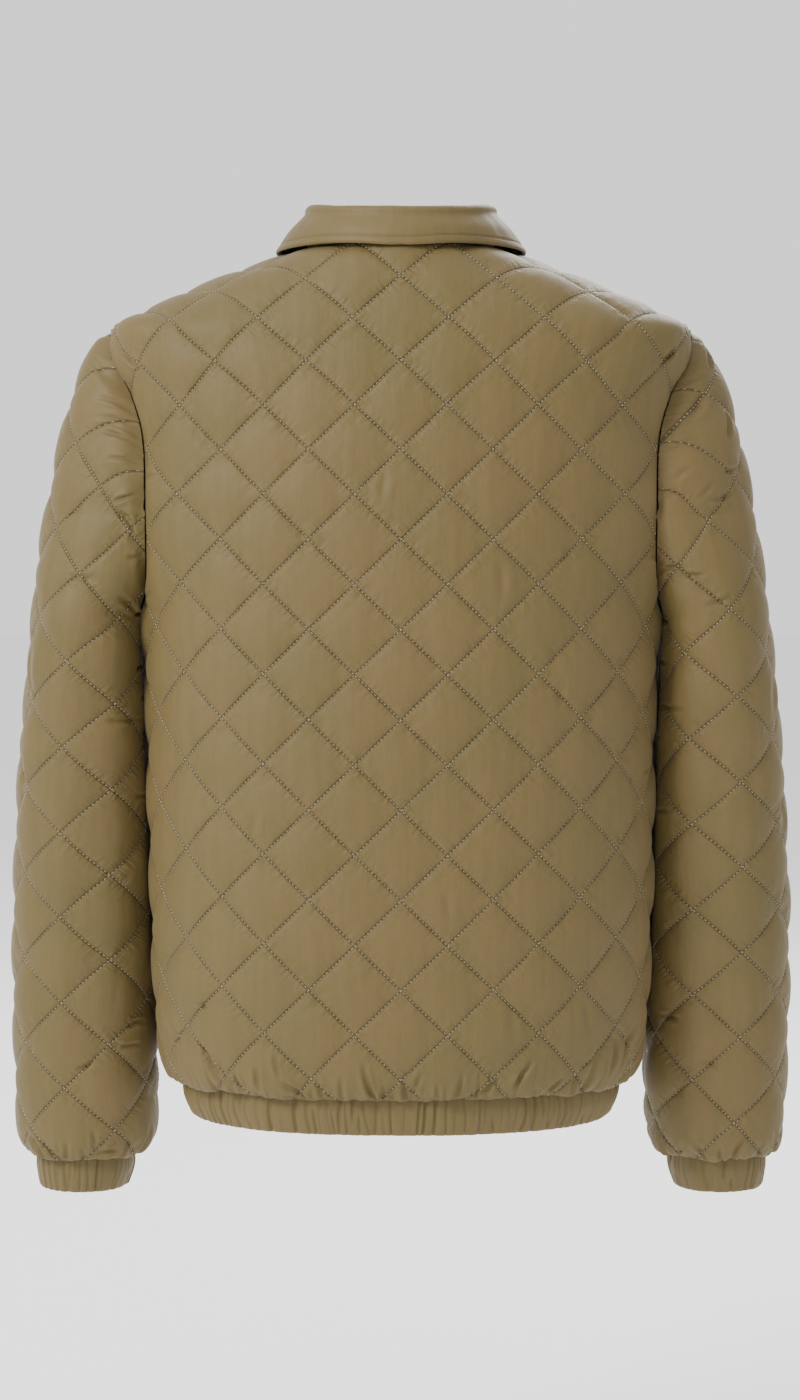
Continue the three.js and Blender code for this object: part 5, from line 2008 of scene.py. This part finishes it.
@dataclass(frozen=True)
class Lamp:
    """A soft square light that faces a point."""

    name: str
    place: tuple[float, float, float]
    size: float
    watts: float
    aim: tuple[float, float, float] = (0.0, 0.0, -0.35)

    def light(self) -> None:
        """Hangs the light."""
        data = bpy.data.lights.new(self.name, "AREA")
        data.shape, data.size, data.energy = "SQUARE", self.size, self.watts
        lamp = bpy.data.objects.new(self.name, data)
        lamp.location = self.place
        turn = (Vector(self.aim) - Vector(self.place)).to_track_quat("-Z", "Y")
        lamp.rotation_euler = turn.to_euler()
        bpy.context.scene.collection.objects.link(lamp)


@dataclass
class Studio:
    """A pale floor, soft light and the camera."""

    floor_z: float = -1.05
    lens: float = 93.5
    distance: float = 2.8
    eye_z: float = -0.15
    shift_y: float = -0.1855
    lamps: tuple[Lamp, ...] = (
        Lamp("key", (2.4, 2.2, 1.7), 1.2, 185),
        Lamp("fill", (-1.6, 3.2, 0.0), 2.6, 4),
        Lamp("front_key", (-1.2, -2.8, 1.6), 1.4, 105),
        Lamp("front_fill", (2.0, -2.4, 0.2), 2.4, 15),
        Lamp("top", (0.0, 0.0, 2.4), 2.4, 25),
    )

    def camera(self) -> None:
        """Sets the camera behind the jacket, level, at the photo's distance."""
        data = bpy.data.cameras.new("camera")
        data.lens, data.sensor_width, data.shift_y = self.lens, 36.0, self.shift_y
        data.clip_end = 50
        camera = bpy.data.objects.new("camera", data)
        camera.location = (0.0008, self.distance, self.eye_z)
        camera.rotation_euler = (math.pi / 2, 0, math.pi)
        bpy.context.scene.collection.objects.link(camera)
        bpy.context.scene.camera = camera

    def floor(self) -> None:
        """Lays the floor."""
        bm = bmesh.new()
        bmesh.ops.create_grid(bm, x_segments=8, y_segments=8, size=14.0)
        bmesh.ops.translate(bm, vec=(0, 0, self.floor_z), verts=bm.verts)
        mesh = bpy.data.meshes.new("floor")
        bm.to_mesh(mesh)
        bm.free()
        s = Shader("pale_floor")
        s.shader.inputs["Base Color"].default_value = (0.93, 0.93, 0.93, 1)
        s.shader.inputs["Roughness"].default_value = 0.9
        mesh.materials.append(s.material)
        floor = bpy.data.objects.new("floor", mesh)
        bpy.context.scene.collection.objects.link(floor)

    def light(self) -> None:
        """Hangs the lights in a pale room."""
        world = bpy.data.worlds.new("room")
        world.use_nodes = True
        background = world.node_tree.nodes["Background"]
        background.inputs["Color"].default_value = (1.0, 1.0, 1.0, 1)
        background.inputs["Strength"].default_value = 1.25
        bpy.context.scene.world = world
        for lamp in self.lamps:
            lamp.light()


BACK_CREASES = creases(
    (-215, 552, 32, -45, 2.6, 2.2, 2), (206, 556, 26, 52, 2.2, 2.2, -2), (-157, 520, 26, 74, 0.8, 2.6),
    (-154, 494, 20, 96, 0.7, 2.4, 1), (-196, 462, 18, 10, 1.0, 1.8), (-208, 372, 20, 14, 1.1, 2.0, 1),
    (-211, 330, 15, -8, 1.0, 1.7), (203, 400, 20, -12, 1.1, 1.9, 1), (207, 240, 17, 8, 1.0, 1.8),
    (-70, 417, 34, 94, 0.7, 3.4, 2), (-12, 455, 28, 86, 0.7, 3.0, 1), (72, 384, 38, 92, 0.8, 3.6, -2),
    (118, 300, 30, 88, 0.7, 3.0), (-28, 250, 26, 97, 0.6, 2.8), (-108, 205, 24, 84, 0.7, 2.8),
    (34, 148, 26, 95, 0.6, 2.8), (82, 57, 34, 92, 0.9, 3.4), (140, 62, 30, 96, 0.8, 2.8),
    (-153, 68, 15, -15, 1.4, 1.5), (-188, 44, 46, -52, 2.0, 2.3, 3), (-151, 26, 38, -62, 2.3, 2.0, 3),
    (-128, 14, 18, -78, 1.6, 1.7), (-109, 17, 24, 82, 1.5, 1.9), (-92, 27, 21, 100, 1.3, 1.6),
    (-85, 10, 26, -36, 2.4, 1.9, 2), (-62, 11, 15, 98, 1.7, 1.5), (-45, 14, 22, 84, 1.4, 1.8),
    (-24, 20, 32, 102, 2.1, 1.8, 2), (-14, 9, 13, 82, 1.6, 1.4), (2, 12, 18, 99, 2.2, 1.5),
    (12, 16, 20, 68, 1.4, 1.8), (28, 11, 15, 94, 1.5, 1.6), (44, 14, 22, 76, 1.6, 1.7),
    (66, 13, 22, 40, 2.0, 1.7, -2), (92, 20, 30, 62, 2.3, 1.8, 2), (104, 9, 13, 97, 1.5, 1.5),
    (118, 12, 19, 46, 1.8, 1.7), (137, 13, 20, 84, 1.7, 1.7), (152, 22, 36, 78, 1.6, 2.2, 2),
    (167, 30, 34, 88, 2.2, 2.0, -2), (187, 33, 44, 68, 2.1, 2.4, 3), (205, 40, 34, 58, 1.6, 2.2),
)
FRONT_CREASES = creases(
    (198, 548, 28, 48, 2.2, 2.1, -2), (150, 500, 24, 70, 1.0, 2.4, 1), (196, 410, 20, -10, 1.2, 1.9),
    (204, 352, 18, 12, 1.1, 1.8, 1), (207, 236, 16, -6, 1.0, 1.8), (64, 430, 34, 86, 0.8, 3.2, 2),
    (110, 322, 32, 94, 0.8, 3.2), (52, 214, 28, 88, 0.7, 3.0), (118, 132, 26, 97, 0.7, 2.8),
    (20, 120, 16, 6, 1.0, 1.8), (16, 300, 14, -8, 0.9, 1.7), (17, 452, 15, 10, 0.9, 1.8),
    (15, 15, 20, 84, 1.7, 1.7), (31, 11, 15, 98, 1.5, 1.6), (47, 17, 28, 106, 2.1, 1.8, 2),
    (66, 10, 14, 82, 1.6, 1.5), (83, 14, 22, 62, 1.9, 1.8, -2), (101, 18, 30, 78, 2.0, 1.9, 2),
    (120, 11, 16, 95, 1.5, 1.6), (139, 16, 26, 54, 2.1, 1.9), (158, 24, 38, 80, 1.7, 2.2, 2),
    (181, 32, 44, 64, 2.1, 2.3, -3), (203, 42, 32, 56, 1.6, 2.2),
)
LEFT_SLEEVE_CREASES = creases(
    (28, 613, 34, -41, 1.7, 2.3, 2), (49, 592, 26, -6, 1.9, 1.9, 1), (53, 580, 22, 14, 1.0, 1.8),
    (61, 567, 24, -4, 1.9, 1.8, -1), (74, 548, 20, 18, 1.4, 1.8), (92, 514, 22, 20, 1.7, 1.7),
    (98, 496, 26, -39, 2.4, 1.9, 2), (112, 470, 20, 4, 1.4, 1.7), (72, 452, 28, -8, 1.1, 2.3, 1),
    (110, 434, 27, -30, 1.8, 2.0, 1), (126, 427, 20, 12, 2.8, 1.7, 1), (132, 406, 18, 2, 1.6, 1.6),
    (128, 384, 22, 8, 1.9, 1.7), (131, 362, 18, 25, 2.0, 1.6), (110, 344, 40, 0, 1.4, 1.8, -1),
    (134, 322, 18, 12, 1.5, 1.7), (126, 284, 16, -6, 1.2, 1.6), (34, 380, 40, 96, 0.9, 3.6, 3),
    (24, 300, 44, 92, 0.9, 3.6, -3), (124, 106, 18, 10, 1.9, 1.7, 1), (118, 90, 20, 5, 1.4, 1.7),
    (84, 75, 17, 20, 1.1, 1.7), (36, 12, 24, -46, 2.2, 1.8, 2), (52, 9, 22, -35, 1.9, 1.6),
    (66, 12, 17, 84, 1.4, 1.6), (78, 8, 13, 93, 2.0, 1.4), (86, 19, 17, 88, 1.3, 1.7),
    (96, 9, 18, 14, 2.5, 1.6), (112, 12, 18, 72, 1.7, 1.7), (130, 15, 24, 80, 1.8, 1.9),
    (14, 10, 17, 98, 1.8, 1.6), (-6, 14, 22, 82, 1.6, 1.8), (-27, 10, 18, 104, 2.0, 1.6),
    (-49, 16, 26, 64, 2.0, 1.8, 2), (-72, 10, 16, 92, 1.7, 1.5), (-93, 15, 24, 116, 2.1, 1.8),
    (-118, 12, 18, 84, 1.7, 1.7), (-30, 608, 28, 36, 1.6, 2.2, 1), (-50, 585, 24, 8, 1.8, 1.9),
    (-62, 560, 24, 2, 1.8, 1.9, 1), (-90, 505, 24, 32, 2.2, 1.9), (-104, 478, 20, -4, 1.5, 1.7),
    (-120, 436, 24, 10, 2.0, 1.8), (-128, 404, 20, -8, 1.7, 1.7), (-112, 372, 38, 4, 1.8, 2.0, 2),
    (-96, 350, 30, -12, 1.5, 2.0), (-124, 330, 20, 6, 1.6, 1.7), (-84, 300, 26, 10, 1.2, 1.9),
)
RIGHT_SLEEVE_CREASES = creases(
    (-17, 622, 22, 56, 2.4, 1.9, 1), (-35, 609, 16, 2, 1.3, 1.6), (-43, 588, 28, 50, 2.5, 1.9, -1),
    (-62, 575, 18, 24, 1.4, 1.7), (-31, 570, 28, 66, 2.1, 1.6, -2), (-79, 532, 26, 30, 0.9, 1.9, 2),
    (-66, 520, 24, 36, 0.8, 1.8, -1), (-37, 535, 21, 11, 1.4, 1.7), (-52, 515, 31, 8, 1.3, 2.0, -1),
    (-108, 462, 21, 5, 2.3, 1.7), (-90, 456, 21, 0, 1.7, 1.7, -1), (-75, 437, 27, 20, 1.5, 1.9, -2),
    (-124, 420, 18, -10, 1.7, 1.7), (-129, 388, 20, -4, 1.7, 1.7), (-118, 352, 34, -2, 1.5, 1.9, 1),
    (-133, 330, 16, -14, 1.5, 1.6), (-126, 272, 16, 8, 1.3, 1.6), (-30, 360, 44, 86, 0.9, 3.6, 3),
    (-24, 262, 40, 94, 0.8, 3.4, -3), (-120, 112, 20, -8, 1.7, 1.7), (-90, 78, 18, -16, 1.2, 1.7),
    (-126, 14, 22, 98, 1.8, 1.8), (-108, 10, 17, 64, 1.9, 1.6), (-93, 14, 21, 112, 1.7, 1.7, 1),
    (-77, 9, 14, 88, 2.0, 1.5), (-61, 13, 21, 52, 2.1, 1.7, 2), (-44, 10, 16, 94, 1.5, 1.6),
    (-28, 14, 24, 128, 2.0, 1.8), (-8, 10, 17, 82, 1.8, 1.6), (14, 15, 24, 98, 1.7, 1.8),
    (36, 10, 16, 76, 1.9, 1.6), (58, 14, 24, 118, 2.1, 1.8, -2), (82, 9, 15, 88, 1.6, 1.5),
    (104, 14, 22, 70, 1.9, 1.8), (127, 11, 18, 96, 1.6, 1.7), (28, 606, 30, -38, 1.7, 2.2, 1),
    (50, 590, 22, -4, 1.8, 1.8), (64, 562, 26, -12, 1.9, 1.9, -1), (88, 508, 22, -34, 2.2, 1.8),
    (108, 470, 20, 6, 1.6, 1.7), (122, 428, 24, -10, 2.1, 1.8), (126, 396, 20, 6, 1.7, 1.7),
    (106, 366, 36, -2, 1.8, 2.0, -2), (118, 338, 26, 10, 1.6, 1.8), (90, 306, 24, -8, 1.3, 1.9),
)


def main() -> None:
    """Builds the jacket's pieces in order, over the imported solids."""
    logging.basicConfig(level=logging.INFO, format="%(message)s")
    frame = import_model()
    studio = Studio()
    studio.camera()
    studio.floor()
    studio.light()
    finishes = Finishes()
    body = BodyPanels()
    body.back_panel(BACK_CREASES).build(finishes)
    for side in Side:
        body.front_panel(side, FRONT_CREASES).build(finishes)
    sleeves = Sleeves()
    sleeves.panel(Side.LEFT, LEFT_SLEEVE_CREASES).build(finishes)
    sleeves.panel(Side.RIGHT, RIGHT_SLEEVE_CREASES).build(finishes)
    bands = Bands()
    bands.hem().build(finishes)
    for side in Side:
        bands.cuff(side).build(finishes)
    Collar().build(finishes)
    Zip().build(frame["nodes"], finishes)


if __name__ == "__main__":
    main()
